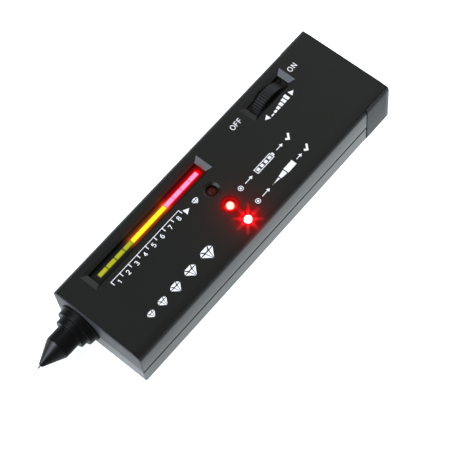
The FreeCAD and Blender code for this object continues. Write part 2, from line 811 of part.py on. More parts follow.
def make_thumbwheel():
    """Ribbed wheel on the pot's shaft, dished on the outer side for its screw."""
    body = new_body("thumbwheel")
    bore = "shaft_round + 0.02"
    outer = "wheel_low + wheel_wide"
    turned(body, "wheel_disc",
           outline(body, "wheel_profile", "XY_Plane", "0", [
               (bore, "wheel_low"), ("wheel_round", "wheel_low"), ("wheel_round", outer),
               ("5", outer), ("5", outer + " - 1.2"), (bore, outer + " - 1.2")]), "V_Axis")
    groove = feature(body, "Pocket", "ridge_groove",
                     outline(body, "groove_plan", "XZ_Plane", "0",
                             [("-0.36", "wheel_round + 0.1"), ("0", "wheel_round - ridge_deep"),
                              ("0.36", "wheel_round + 0.1")]),
                     Length=outer + " + 1")
    pattern = body.newObject("PartDesign::PolarPattern", "ridges")
    pattern.Originals = [groove]
    turn_axis = [item for item in body.Origin.OriginFeatures if item.Role == "Y_Axis"]
    pattern.Axis = (turn_axis[0], [""])
    pattern.Angle = 360
    bind(pattern, Occurrences="ridge_count")
    body.Tip = pattern
    return piece(body, x="wheel_x", z="wheel_level")


def make_wheel_screw():
    shank = rod("wheel_screw_shank", ("wheel_x", "11.6", "wheel_level"), "1", "4", along="y")
    head = rod("wheel_screw_head", ("wheel_x", "15.4", "wheel_level"), "4.2", "0.9", along="y")
    slot = box("wheel_screw_slot", ("wheel_x - 5", "15.9", "wheel_level - 0.4"),
               ("wheel_x + 5", "17", "wheel_level + 0.4"))
    return piece(cut("wheel_screw", union("wheel_screw_solid", [shank, head]), [slot]))


# Battery

TERMINALS = [("-6.35", "2.8"), ("6.35", "4")]


def terminal_rods(stem, grow, start, length):
    """Round studs on the battery's front end, or the sockets that fit them."""
    middle = "battery_low + battery_wide / 2"
    return [rod("%s_%d" % (stem, i), (start, middle + " + " + side, "floor_thick + battery_thick / 2"),
                radius + grow, length, along="x")
            for i, (side, radius) in enumerate(TERMINALS)]


def make_battery():
    can = box("battery_can", ("battery_front", "battery_low", "floor_thick"),
              ("battery_front + battery_long", "battery_low + battery_wide", "floor_thick + battery_thick"))
    studs = terminal_rods("battery_stud", "", "battery_front - 2.3", "3")
    return piece(union("battery_9v", [can] + studs))


def make_battery_snap():
    block = box("snap_block", ("battery_front - 4", "battery_low + 0.2", "floor_thick + 1.2"),
                ("battery_front", "battery_low + battery_wide - 0.2", "floor_thick + battery_thick - 1.2"))
    sockets = terminal_rods("snap_socket", " + 0.05", "battery_front - 2.4", "3")
    return piece(cut("battery_snap", block, sockets))


def make_lead(name, side):
    """Battery wire from the snap forward and up to the board, all inside the case."""
    rear = SIZES["battery_front"] - 4
    board = SIZES["board_low"]
    level = 8.0
    turn_x = SIZES["board_rear"] - 1.3
    route = [V(rear, side, level), V(turn_x, side, level), V(turn_x, side, board)]
    return piece(bent_wire(name, route, 0.65, 0.45 * (rear - turn_x)))


def make_battery_pad():
    """Foam block that keeps the battery down."""
    low = "floor_thick + battery_thick"
    return piece(box("battery_pad", ("battery_front + 4", "-17", low), ("battery_front + 32", "3", CEILING)))


# Fasteners and touch plate

def make_screws(name, spots, head_low, head_radius, head_high, shank_radius, shank_length):
    """Pan head screws, all pointing up, each its own solid."""
    screws = []
    for number, (x, y) in enumerate(spots):
        stem = "%s_%d" % (name, number)
        seat = head_low + " + " + head_high
        head = rod(stem + "_head", (x, y, head_low), head_radius, head_high)
        shank = rod(stem + "_shank", (x, y, seat), shank_radius, shank_length)
        crosses = [box("%s_cross_%d" % (stem, i),
                       ("%s - %s" % (x, a), "%s - %s" % (y, b), head_low + " - 1"),
                       ("%s + %s" % (x, a), "%s + %s" % (y, b), head_low + " + 0.8"))
                   for i, (a, b) in enumerate((("1.3", "0.25"), ("0.25", "1.3")))]
        screws.append(cut(stem, union(stem + "_solid", [head, shank]), crosses))
    return piece(group(name, screws))


def make_touch_plate():
    """Metal strip on the back that the holding hand touches."""
    return piece(box("touch_plate", ("touch_front + 0.1", "0.1 - touch_half", "0.1"),
                     ("touch_rear - 0.1", "touch_half - 0.1", "touch_sink")))


def make_touch_contact():
    x, y = CONTACT_SPOT
    return piece(rod("touch_contact", (x, y, "touch_sink"), "1", "board_low - touch_sink"))


make_sheet()
make_upper_shell()
make_lower_shell()
make_battery_cover()
make_nose_cone()
make_probe_needle()
make_heater_slug()
make_thermistor()
make_probe_spring()
make_probe_bush()
make_probe_leads()
for colour_number, colour in enumerate(("green", "yellow", "red")):
    make_bar_lights("bar_leds_" + colour, colour_number * LIGHTS_PER_COLOUR)
make_led_mask()
for lamp_name, lamp_spot in zip(("alert_lamp", "battery_lamp", "ready_lamp"), LAMP_SPOTS):
    make_lamp(lamp_name, lamp_spot)
make_main_board()
make_chip("bar_driver_chip", 33.0, -6.4, 9)
make_chip("amplifier_chip", 78.5, -8.0, 4)
make_capacitors()
make_resistors()
make_trimmers()
make_buzzer()
make_pot_body()
make_pot_shaft()
make_thumbwheel()
make_wheel_screw()
make_battery()
make_battery_snap()
make_lead("lead_red", -12.5)
make_lead("lead_black", -4.0)
make_battery_pad()
make_screws("board_screws", BOARD_SCREW_SPOTS, "board_low - 1.4", "1.9", "1.4", "1", "5.4")
make_screws("case_screws", SCREW_SPOTS, "head_deep - 1.9", "head_round", "1.9", "shank_round", "15")
make_touch_plate()
make_touch_contact()
doc.recompute()

for item in doc.Objects:
    if "Invalid" in item.State or "Error" in item.State:
        raise RuntimeError("%s is %s" % (item.Name, item.State))
for item in pieces:
    if item.Shape.isNull() or not item.Shape.isValid():
        raise RuntimeError("%s has no valid shape" % item.Label)

os.makedirs("parts", exist_ok=True)
for item in pieces:
    item.Shape.exportStep("parts/%s.step" % item.Label)
    bounds = item.Shape.BoundBox
    print("%-16s %d solid(s) x %.2f..%.2f y %.2f..%.2f z %.2f..%.2f" % (
        item.Label, len(item.Shape.Solids), bounds.XMin, bounds.XMax, bounds.YMin, bounds.YMax,
        bounds.ZMin, bounds.ZMax))
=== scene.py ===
# %% [markdown]
# # A pocket diamond tester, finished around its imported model
# The tester is a flat charcoal case with a stepped nose that carries a thin probe.
# A sunk window shows a row of twelve flat lights, and three round lamps sit beside it.
# A ribbed wheel switches it on and sets the level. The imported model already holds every
# solid at its estimated size, so this notebook adds finishes, prints and finer surfaces.

# %% The frame
import math
import bmesh
import bpy
import numpy as np
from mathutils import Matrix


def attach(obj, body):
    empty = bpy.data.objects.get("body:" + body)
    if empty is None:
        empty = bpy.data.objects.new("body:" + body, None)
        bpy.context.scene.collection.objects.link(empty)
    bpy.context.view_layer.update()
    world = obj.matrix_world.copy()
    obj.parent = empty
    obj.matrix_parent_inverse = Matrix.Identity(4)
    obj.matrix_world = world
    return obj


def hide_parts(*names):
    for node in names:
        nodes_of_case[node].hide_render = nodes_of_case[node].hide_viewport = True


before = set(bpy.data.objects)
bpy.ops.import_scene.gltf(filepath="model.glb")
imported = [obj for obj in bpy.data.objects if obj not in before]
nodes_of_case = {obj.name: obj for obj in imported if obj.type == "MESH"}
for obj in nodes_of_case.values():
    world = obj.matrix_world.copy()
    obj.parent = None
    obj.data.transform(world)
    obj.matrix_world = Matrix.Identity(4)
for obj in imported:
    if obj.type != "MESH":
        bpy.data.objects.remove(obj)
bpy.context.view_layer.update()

# %% [markdown]
# ## Measuring along the case
# Every place on the tester is easiest to name in millimetres behind the front face,
# so one function turns such places into the frame's metres.

# %% Places in millimetres
MM = 0.001
FRONT_FACE = -65.375
CASE_END, CASE_HALF = 157.0, 23.5
COVER_LIP, COVER_HALF = 142.1, 23.6
FACE_LEVEL = 25.3
LIGHT_ROW, FIRST_LIGHT, LIGHT_PITCH = 13.95, 16.8, 5.0
BAR_LEG_REACH, LAMP_LEG_REACH = (1.16, 3.7), (-1.27, 1.27)
LAMP_BACK = 73.3
LAMP_SIDES = {"alert_lamp": 2.7, "battery_lamp": -7.05, "ready_lamp": -16.8}
NOSE_SIDE, NOSE_LEVEL, CONE_FOOT = 10.2, 12.2, -14.4
WHEEL_BACK, WHEEL_LEVEL = 122.4, 15.7


def metres(points):
    """Millimetres from the front face, as metres in the frame: (x + FRONT_FACE, y, z) / 1000."""
    return (np.asarray(points, float) + (FRONT_FACE, 0.0, 0.0)) * MM


print("front face at x =", metres([(0, 0, 0)])[0][0], "m")

# %% [markdown]
# ## Surfaces from grids of points
# A surface worked out as a grid only needs its quads: each point joins its three
# neighbours to the right and below. Poles and seams close when points that fall
# together are merged, and the faces are then turned outwards.

# %% Mesh helpers
def grid_quads(rows, columns, rows_wrap=False, columns_wrap=True):
    """Quad (i, j) joins grid points (i, j), (i+1, j), (i+1, j+1) and (i, j+1)."""
    i, j = np.meshgrid(np.arange(rows if rows_wrap else rows - 1),
                       np.arange(columns if columns_wrap else columns - 1), indexing="ij")
    below, right = (i + 1) % rows, (j + 1) % columns
    corners = (i * columns + j, below * columns + j, below * columns + right, i * columns + right)
    return np.stack(corners, axis=-1).reshape(-1, 4)


def new_piece(name, points, faces, material, body, stands_for=(), slot=None, crease=35.0):
    """A mesh object from points in front-face millimetres, merged, closed, and riding on a body."""
    mesh = bpy.data.meshes.new(name)
    mesh.from_pydata(metres(points).tolist(), [], [list(face) for face in faces])
    work = bmesh.new()
    work.from_mesh(mesh)
    bmesh.ops.remove_doubles(work, verts=work.verts, dist=2e-7)
    bmesh.ops.recalc_face_normals(work, faces=work.faces)
    work.to_mesh(mesh)
    work.free()
    mesh.shade_smooth()
    mesh.set_sharp_from_angle(angle=math.radians(crease))
    mesh.materials.append(material)
    made = bpy.data.objects.new(name, mesh)
    bpy.context.scene.collection.objects.link(made)
    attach(made, body)
    if stands_for:
        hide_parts(*stands_for)
    print(name, "has", len(mesh.polygons), "faces")
    return made


def joined(shapes):
    """Several (points, faces) pairs as one, with each set of faces counted on from the last."""
    starts = np.cumsum([0] + [len(points) for points, _ in shapes[:-1]])
    faces = [[vertex + start for vertex in face]
             for (_, part), start in zip(shapes, starts) for face in part]
    return np.concatenate([points for points, _ in shapes]), faces

# %% [markdown]
# ## Rounded profiles
# Nothing moulded has a knife edge. Each corner of a profile is replaced by a short
# parabola that leaves one side and joins the next, which is what catches the light.

# %% Profile helpers
def rounded(corners, reach, steps=5, closed=True):
    """Corner P between A and B becomes (1-t)^2 A' + 2t(1-t) P + t^2 B', where A' and B' lie
    reach millimetres from P, or at most 0.45 of the side's length."""
    corner = np.asarray(corners, float)
    before, after = np.roll(corner, 1, axis=0), np.roll(corner, -1, axis=0)
    reach = np.broadcast_to(np.asarray(reach, float), len(corner))[:, None]
    back, ahead = before - corner, after - corner
    back_len = np.linalg.norm(back, axis=1, keepdims=True)
    ahead_len = np.linalg.norm(ahead, axis=1, keepdims=True)
    start = corner + back / back_len * np.minimum(reach, 0.45 * back_len)
    end = corner + ahead / ahead_len * np.minimum(reach, 0.45 * ahead_len)
    t = np.linspace(0, 1, steps)[None, :, None]
    curve = (1 - t) ** 2 * start[:, None] + 2 * t * (1 - t) * corner[:, None] + t ** 2 * end[:, None]
    if not closed:
        curve[0], curve[-1] = corner[0], corner[-1]
    return curve.reshape(-1, 2)


def turned(profile, axis_side, axis_level, columns=96):
    """Points (x, r) carried round an axis along X: y = side + r cos a, z = level + r sin a."""
    along, radius = np.asarray(profile, float).T
    angle = np.linspace(0, math.tau, columns, endpoint=False)
    points = np.stack(np.broadcast_arrays(along[:, None],
                                          axis_side + radius[:, None] * np.cos(angle),
                                          axis_level + radius[:, None] * np.sin(angle)), axis=-1)
    return points.reshape(-1, 3), grid_quads(len(profile), columns, rows_wrap=True)


print("a rounded square has", len(rounded([(0, 0), (1, 0), (1, 1), (0, 1)], 0.2)), "points")

# %% [markdown]
# ## Building finishes from nodes
# A finish is a small tree: a pattern in millimetres drives colour, roughness and a
# shallow relief. These helpers keep each tree to a few readable lines.

# %% Node helpers
def add(tree, kind, inputs=None, **settings):
    """One shader node; its inputs take numbers, colours or other nodes' outputs."""
    made = tree.nodes.new("ShaderNode" + kind)
    for key, value in settings.items():
        setattr(made, key, value)
    for key, value in (inputs or {}).items():
        if isinstance(value, bpy.types.NodeSocket):
            tree.links.new(value, made.inputs[key])
        else:
            made.inputs[key].default_value = value
    return made


def calc(tree, operation, *values, clamp=False):
    """A Math node's result, such as calc(tree, "MULTIPLY", height, 0.5)."""
    made = add(tree, "Math", dict(enumerate(values)), operation=operation, use_clamp=clamp)
    return made.outputs[0]


def place_in_mm(tree):
    """The point's place in front-face millimetres, as a vector and as its x, y and z."""
    where = add(tree, "TexCoord").outputs["Object"]
    scaled = add(tree, "VectorMath", {0: where, 1: (1000, 1000, 1000), 2: (-FRONT_FACE, 0, 0)},
                 operation="MULTIPLY_ADD").outputs[0]
    split = add(tree, "SeparateXYZ", {0: scaled})
    return scaled, split.outputs[0], split.outputs[1], split.outputs[2]


def speckle(tree, where, size, detail=3.0):
    """Soft noise whose blotches are about size millimetres across."""
    return add(tree, "TexNoise", {"Vector": where, "Scale": 1.0 / size, "Detail": detail}).outputs[0]


print("helpers for nodes:", [helper.__name__ for helper in (add, calc, place_in_mm, speckle)])

# %% [markdown]
# ## Mixing by a share
# Most of a finish is a mix of two colours or two numbers, and the share of each comes from
# a noise or a distance. A band and a ramp turn a distance into such a share, from 0 to 1.

# %% Mixing helpers
def blend(tree, share, low, high):
    """A colour between two colours."""
    made = add(tree, "Mix", {"Factor": share, "A": low, "B": high}, data_type="RGBA")
    return made.outputs["Result"]


def band(tree, value, low, high, soft):
    """1 between low and high, falling to 0 over soft on each side."""
    rise = calc(tree, "DIVIDE", calc(tree, "SUBTRACT", value, low - soft), soft, clamp=True)
    fall = calc(tree, "DIVIDE", calc(tree, "SUBTRACT", high + soft, value), soft, clamp=True)
    return calc(tree, "MULTIPLY", rise, fall)


def mixed(tree, share, low, high):
    """A number between two numbers."""
    made = add(tree, "Mix", {0: share, 2: low, 3: high}, data_type="FLOAT")
    return made.outputs[0]


def ramp(tree, value, low, high, to_low=0.0, to_high=1.0, kind="LINEAR"):
    """A number that goes from to_low, where the value is low, to to_high, where it is high."""
    made = add(tree, "MapRange", {"Value": value, "From Min": low, "From Max": high, "To Min": to_low,
                                  "To Max": to_high}, interpolation_type=kind)
    return made.outputs[0]


def apart(tree, a, b):
    """sqrt(a^2 + b^2)."""
    return calc(tree, "SQRT", calc(tree, "ADD", calc(tree, "MULTIPLY", a, a), calc(tree, "MULTIPLY", b, b)))


print("helpers for mixing:", [helper.__name__ for helper in (blend, band, mixed, ramp, apart)])

# %% [markdown]
# ## A blank finish to start from
# Every finish starts as the standard shader, and all but those of the lenses, the lamps
# and the table end with a shallow relief. Colours are written as three numbers, and the
# fourth, which the shader wants, is added here.

# %% Finish helpers
def blank_finish(name):
    """A new material with its node tree and its shader."""
    made = bpy.data.materials.new(name)
    made.use_nodes = True
    return made, made.node_tree, made.node_tree.nodes["Principled BSDF"]


def relief(tree, shader, height, depth):
    """Raises the surface by height (0..1) times depth millimetres."""
    bump = add(tree, "Bump", {"Height": height, "Strength": 1.0, "Distance": depth * MM})
    tree.links.new(bump.outputs[0], shader.inputs["Normal"])


def rgba(colour, scale=1.0):
    """A colour times a number, with full opacity."""
    return tuple(channel * scale for channel in colour) + (1.0,)


print("white is", rgba((1.0, 1.0, 1.0)))

# %% [markdown]
# ## Moulded plastic, the family finish
# Tool makers spark-erode the steel mould, which leaves a fine even grain, and the gloss
# changes with it. The colour also drifts a little over a centimetre or two. Marks such as
# bands, pads or brushed ends are laid over the ground one after another, each with its own
# colour and roughness.

# %% Moulded plastic
BLOTCH, GLOSS_SPREAD = 14.0, 0.06


def moulded(name, colour, gloss, grain=0.35, depth=0.004, drift=0.18, metal=0.0, shine=0.5,
            tint=(1.0, 1.0, 1.0), marks=(), stretch=(1.0, 1.0, 1.0)):
    """Plastic or plain metal: grain millimetres across and depth deep, roughness changing with it.
    A mark is (mask, colour, metal, roughness), where mask takes (tree, where, x, y, z)."""
    made, tree, shader = blank_finish(name)
    where, x, y, z = place_in_mm(tree)
    cloud = speckle(tree, where, BLOTCH, 2.0)
    drawn = add(tree, "VectorMath", {0: where, 1: stretch}, operation="MULTIPLY").outputs[0]
    fine = speckle(tree, drawn, grain, 4.0)
    share = calc(tree, "ADD", calc(tree, "MULTIPLY", cloud, 0.6), calc(tree, "MULTIPLY", fine, 0.4))
    shade = blend(tree, share, rgba(colour, 1 - drift), rgba(colour, 1 + drift))
    rough = ramp(tree, fine, 0.0, 1.0, gloss - GLOSS_SPREAD, gloss + GLOSS_SPREAD)
    metallic = None
    for mask, mark_colour, mark_metal, mark_rough in marks:
        cover = mask(tree, where, x, y, z)
        shade = blend(tree, cover, shade, rgba(mark_colour))
        rough = mixed(tree, cover, rough, mark_rough)
        metallic = mixed(tree, cover, metal if metallic is None else metallic, mark_metal)
    tree.links.new(shade, shader.inputs["Base Color"])
    tree.links.new(rough, shader.inputs["Roughness"])
    if metallic is None:
        shader.inputs["Metallic"].default_value = metal
    else:
        tree.links.new(metallic, shader.inputs["Metallic"])
    relief(tree, shader, fine, depth)
    shader.inputs["Specular IOR Level"].default_value = shine
    shader.inputs["Specular Tint"].default_value = rgba(tint)
    return made


print("blotches about", BLOTCH, "mm across")

# %% [markdown]
# ## The outer finishes
# The lid and the tray are charcoal, and the lid's front wall is painted lighter as a sheen. The cover has
# grain drawn out along its length and a painted highlight on its long edges. The nose has the shallowest
# grain, and the wheel and the lights' holder are matt. The numbers were set by comparing renders with
# the picture.

# %% Outer finishes
def front_face(tree, where, x, y, z):
    """1 on the front wall, where a lighter colour is painted as a sheen."""
    return calc(tree, "LESS_THAN", x, 0.2)


def long_edge(tree, where, x, y, z):
    """1 on the cover's long top edges, where a highlight is painted, falling to 0 at 4 mm from them."""
    aside = calc(tree, "SUBTRACT", calc(tree, "ABSOLUTE", y), COVER_HALF)
    away = apart(tree, aside, calc(tree, "SUBTRACT", z, FACE_LEVEL))
    return calc(tree, "MULTIPLY_ADD", away, -0.25, 1.0, clamp=True)


COOL = (0.92, 0.98, 0.96)
# The front wall's lighter colour is a painted sheen for the light it catches.
case_finish = moulded("charcoal_case", (0.0073, 0.0075, 0.0058), 0.24, grain=0.28, shine=0.42, tint=COOL,
                      marks=[(front_face, (0.043, 0.047, 0.049), 0.0, 0.4)])
tray_finish = moulded("charcoal_tray", (0.013, 0.014, 0.014), 0.3, grain=0.3, depth=0.003, shine=0.42,
                      tint=COOL)
# The cover's greyer long edges are a painted highlight.
cover_finish = moulded("charcoal_cover", (0.0085, 0.0092, 0.0092), 0.45, grain=0.3, depth=0.006, shine=0.33,
                       tint=(0.9, 0.97, 1.0), stretch=(0.12, 1.0, 1.0),
                       marks=[(long_edge, (0.06, 0.061, 0.06), 0.0, 0.5)])
nose_finish = moulded("gloss_black_nose", (0.0035, 0.0035, 0.0032), 0.34, grain=0.8, depth=0.0012, shine=0.3)
wheel_finish = moulded("matt_black_wheel", (0.0105, 0.0104, 0.0098), 0.5, grain=0.25, shine=0.35)
mask_finish = moulded("matt_black_holder", (0.003, 0.003, 0.0028), 0.55, grain=0.25, shine=0.2)
outer = (case_finish, tray_finish, cover_finish, nose_finish, wheel_finish, mask_finish)
print("outer finishes:", [finish.name for finish in outer])

# %% [markdown]
# ## Draft of the walls
# A moulding leaves its mould only if its walls lean in a little: the tray's long walls
# towards the foot, and most others towards the face, with a soft brow over the nose. The
# lean is too small to draw, but it tips the mirror image of the table, so the finish adds
# it to the surface's direction. Behind RIM_START and below RIM_TOP the cover's walls are
# tipped outwards instead. The leans were set by comparing renders with the picture.

# %% Draft
SIDE_MIDDLE, BROW_FOOT, BROW_HEIGHT = 13.0, 21.0, 4.3
RIM_START, RIM_TOP = 154.9, 24.2
TRAY_LEAN = 0.03


def lean(finish, sideways, forwards, rise=0.0, brow=0.0):
    """Normal becomes normalize(N - (0, 0, k)) with k = (1 - |Nz|) * lean, where lean is sideways -
    rise * (z - SIDE_MIDDLE) on the long sides, and forwards - brow * t^2 on the front, t going from
    0 at BROW_FOOT to 1 over BROW_HEIGHT."""
    tree = finish.node_tree
    z = place_in_mm(tree)[3]
    normal = add(tree, "NewGeometry").outputs["Normal"]
    parts = add(tree, "SeparateXYZ", {0: normal})
    upright = calc(tree, "SUBTRACT", 1.0, calc(tree, "ABSOLUTE", parts.outputs[2]))
    front = calc(tree, "LESS_THAN", parts.outputs[0], -0.7)
    along_side = calc(tree, "MULTIPLY_ADD", calc(tree, "SUBTRACT", z, SIDE_MIDDLE), -rise, sideways)
    near_top = calc(tree, "DIVIDE", calc(tree, "SUBTRACT", z, BROW_FOOT), BROW_HEIGHT, clamp=True)
    bowed = calc(tree, "MULTIPLY_ADD", calc(tree, "MULTIPLY", near_top, near_top), -brow, forwards)
    amount = calc(tree, "MULTIPLY", upright, mixed(tree, front, along_side, bowed))
    sink = add(tree, "CombineXYZ", {2: calc(tree, "MULTIPLY", amount, -1.0)}).outputs[0]
    tipped = add(tree, "VectorMath", {0: normal, 1: sink}, operation="ADD").outputs[0]
    straight = add(tree, "VectorMath", {0: tipped}, operation="NORMALIZE").outputs[0]
    bump = next(node for node in tree.nodes if node.type == "BUMP")
    tree.links.new(straight, bump.inputs["Normal"])


lean(tray_finish, TRAY_LEAN, -TRAY_LEAN)
lean(case_finish, 0.0, -0.14, rise=0.009, brow=0.35)
cover_tree = cover_finish.node_tree
cover_place = place_in_mm(cover_tree)
rear_rim = calc(cover_tree, "MULTIPLY", calc(cover_tree, "GREATER_THAN", cover_place[1], RIM_START),
                calc(cover_tree, "LESS_THAN", cover_place[3], RIM_TOP))
lean(cover_finish, calc(cover_tree, "MULTIPLY_ADD", rear_rim, 0.3, -0.06), 0.0, rise=0.006)
print("walls of the tray lean by", round(math.degrees(TRAY_LEAN), 1), "degrees")

# %% [markdown]
# ## Light that spills from the lamps
# Lit lamps colour the plastic round them. The spill fades with the distance from the row
# of bar lights or from a lamp's glow, and it is added to the case and to the holder. A
# lamp's chip sits deep in its lens, so from the camera the glow lies a little off its axis.

# %% Spread of light
def faded(tree, distance, edge, strength, reach):
    """strength * exp(-(distance - edge) / reach)."""
    fall = calc(tree, "DIVIDE", calc(tree, "SUBTRACT", edge, distance), reach)
    return calc(tree, "MULTIPLY", calc(tree, "EXPONENT", fall), strength)


ROW_EDGE, ROW_REACH, LAMP_EDGE = 1.0, 0.8, 2.65


def row_spill(tree, x, y, ends, strength):
    """Spill of the bar lights between two places along the row."""
    aside = calc(tree, "SUBTRACT", y, LIGHT_ROW)
    beyond = calc(tree, "MAXIMUM", calc(tree, "SUBTRACT", ends[0], x), calc(tree, "SUBTRACT", x, ends[1]))
    away = apart(tree, aside, calc(tree, "MAXIMUM", beyond, 0.0))
    return faded(tree, away, ROW_EDGE, strength, ROW_REACH)


def from_spot(tree, x, y, spot):
    """The distance from a place (x, y) on the face."""
    return apart(tree, calc(tree, "SUBTRACT", x, spot[0]), calc(tree, "SUBTRACT", y, spot[1]))


def dull(finish, shine, mask):
    """Takes the gloss away where the mask is 1: specular level = shine * (1 - mask)."""
    tree = finish.node_tree
    level = calc(tree, "MULTIPLY", calc(tree, "SUBTRACT", 1.0, mask, clamp=True), shine)
    tree.links.new(level, tree.nodes["Principled BSDF"].inputs["Specular IOR Level"])


print("spill fades to a third over", ROW_REACH, "mm from the row")

# %% [markdown]
# ## Where the plastic is dulled or lit
# The room under the wheel's slot gets a small even glow, because in the picture it isn't
# fully black. The lamps' funnels and the brink over the nose lose part of their gloss.

# %% Slot light and dull places
AIR, SLOT_LIGHT = (1.0, 0.98, 0.88), 0.014
SLOT_ROOM = [(107.0, 138.0, 0.5), (5.0, 21.0, 0.5), (2.2, 22.9, 0.3)]
FUNNEL_RADIUS, FUNNEL_DULLED = 3.9, 0.4
BRINK_DEPTH, BRINK_FOOT, BRINK_DULLED = 0.7, 24.85, 0.75


def slot_air(tree, *place):
    """1 in the room under the wheel's slot, between a low and a high place along x, y and z."""
    share = 1.0
    for along, (low, high, soft) in zip(place, SLOT_ROOM):
        share = calc(tree, "MULTIPLY", share, band(tree, along, low, high, soft))
    return share


# Gloss is taken away by place here, so these places mirror less and look darker.
def worn_gloss(tree, x, y, z):
    """How much gloss is taken from the lamps' funnels and the brink over the nose, which makes them look
    darker.
    """
    nearest = None
    for side in LAMP_SIDES.values():
        away = from_spot(tree, x, y, (LAMP_BACK, side))
        nearest = away if nearest is None else calc(tree, "MINIMUM", nearest, away)
    funnel = calc(tree, "MULTIPLY", calc(tree, "LESS_THAN", nearest, FUNNEL_RADIUS), FUNNEL_DULLED)
    brink = calc(tree, "MULTIPLY", calc(tree, "LESS_THAN", x, BRINK_DEPTH),
                 calc(tree, "GREATER_THAN", z, BRINK_FOOT))
    return calc(tree, "MULTIPLY_ADD", brink, BRINK_DULLED, funnel)


print("glow under the slot:", SLOT_LIGHT)

# %% [markdown]
# ## Spill on the case and on the holder
# Red light comes from the red bar lights and from two lamps, and amber light from the
# yellow ones. Where both meet, the colour is their share-weighted mix.

# %% Spilled light
RED_ROW, AMBER_ROW, SOCKET_LEVEL = (56.9, 76.6), (36.9, 56.7), 20.5
RED, AMBER = (1.0, 0.0, 0.004), (1.0, 0.2, 0.02)
GLOW_SHIFT = {"alert_lamp": (0.3, -0.7), "battery_lamp": (-0.36, -0.42), "ready_lamp": (-0.55, -0.3)}
GLOW_CENTRE = {name: (LAMP_BACK + back, LAMP_SIDES[name] + side) for name, (back, side) in GLOW_SHIFT.items()}


def spill(finish, shine, red_row, amber_row, lamps):
    """Adds red and amber spill to a finish, above the level of the lights' sockets. The plastic
    under strong spill loses its own gloss."""
    tree = finish.node_tree
    shader = tree.nodes["Principled BSDF"]
    place = x, y, z = place_in_mm(tree)[1:]
    red = row_spill(tree, x, y, RED_ROW, red_row)
    amber = row_spill(tree, x, y, AMBER_ROW, amber_row)
    for lamp, strength, reach in lamps:
        round_lamp = faded(tree, from_spot(tree, x, y, GLOW_CENTRE[lamp]), LAMP_EDGE, strength, reach)
        red = calc(tree, "ADD", red, round_lamp)
    above = calc(tree, "GREATER_THAN", z, SOCKET_LEVEL)
    total = calc(tree, "MULTIPLY", calc(tree, "ADD", red, amber), above)
    share = calc(tree, "DIVIDE", amber, calc(tree, "ADD", calc(tree, "ADD", red, amber), 0.0001))
    inside = slot_air(tree, *place)
    colour = blend(tree, inside, blend(tree, share, rgba(RED), rgba(AMBER)), rgba(AIR))
    tree.links.new(colour, shader.inputs["Emission Color"])
    tree.links.new(mixed(tree, inside, total, SLOT_LIGHT), shader.inputs["Emission Strength"])
    dull(finish, shine, calc(tree, "MULTIPLY_ADD", total, 4.0, worn_gloss(tree, *place), clamp=True))


spill(case_finish, 0.42, 0.75, 0.45, [("battery_lamp", 0.75, 0.7), ("battery_lamp", 0.06, 3.0),
                                      ("ready_lamp", 0.88, 1.25), ("ready_lamp", 0.1, 4.5)])
spill(mask_finish, 0.2, 0.95, 0.55, [])
tray_tree = tray_finish.node_tree
tray_shader = tray_tree.nodes["Principled BSDF"]
tray_shader.inputs["Emission Color"].default_value = rgba(AIR)
tray_glow = calc(tray_tree, "MULTIPLY", slot_air(tray_tree, *place_in_mm(tray_tree)[1:]), SLOT_LIGHT)
tray_tree.links.new(tray_glow, tray_shader.inputs["Emission Strength"])
print("spill added to", case_finish.name, "and", mask_finish.name)

# %% [markdown]
# ## Gloss of the nose and of the cover's lip
# In the picture the nose mirrors the table less on its flanks than a smooth turned part
# would, and the cover's front lip hardly mirrors it. Both lose their gloss there. The
# amounts were set by comparing renders with the picture.

# %% Gloss of the nose
def nose_dullness(tree):
    """From turn, the cosine of the angle round the axis: the cone is dulled by up to 0.7 towards its
    near side, and by up to 0.83 on both flanks from |turn| = 0.64 on. The barrel and the rings are
    dulled by 0.76, and by up to 0.94 on their flanks."""
    _, x, y, z = place_in_mm(tree)
    across = calc(tree, "SUBTRACT", y, NOSE_SIDE)
    from_axis = apart(tree, across, calc(tree, "SUBTRACT", z, NOSE_LEVEL))
    turn = calc(tree, "DIVIDE", across, calc(tree, "MAXIMUM", from_axis, 0.1))
    flank = calc(tree, "MULTIPLY_ADD", calc(tree, "ABSOLUTE", turn), 2.5, -1.6, clamp=True)
    near_flank = calc(tree, "MINIMUM", calc(tree, "SUBTRACT", 0.2, turn, clamp=True), 0.7)
    on_cone = calc(tree, "MAXIMUM", near_flank, calc(tree, "MULTIPLY", flank, 0.92))
    on_barrel = calc(tree, "MULTIPLY_ADD", flank, 0.2, 0.76)
    return mixed(tree, calc(tree, "GREATER_THAN", x, CONE_FOOT), on_cone, on_barrel)


dull(nose_finish, 0.6, nose_dullness(nose_finish.node_tree))
# The cover's front lip loses its gloss so that the seam before it looks dark: a painted shade in the gap.
dull(cover_finish, 0.33, calc(cover_tree, "LESS_THAN", cover_place[1], COVER_LIP))
print("gloss shaped on", nose_finish.name, "and", cover_finish.name)

# %% [markdown]
# ## Masks for marks
# A band, a ring, a thread or a blotch is a number from 0 to 1 that depends only on the
# place. Each function below makes one such mask, and masks can be joined or turned
# inside out, so that a mark needs no picture.

# %% Masks
def within(low, high, axis, soft=0.05):
    """A mask that is 1 between two places along x, y or z."""
    def mask(tree, where, x, y, z):
        return band(tree, {"x": x, "y": y, "z": z}[axis], low, high, soft)
    return mask


def both(*masks):
    """A mask that is 1 where all the given masks are."""
    def mask(tree, *place):
        share = 1.0
        for one in masks:
            share = calc(tree, "MULTIPLY", share, one(tree, *place))
        return share
    return mask


def either(*masks):
    """A mask that is 1 where any of the given masks is."""
    def mask(tree, *place):
        share = 0.0
        for one in masks:
            share = calc(tree, "MAXIMUM", share, one(tree, *place))
        return share
    return mask


def outside(one):
    """A mask turned inside out."""
    def mask(tree, *place):
        return calc(tree, "SUBTRACT", 1.0, one(tree, *place))
    return mask


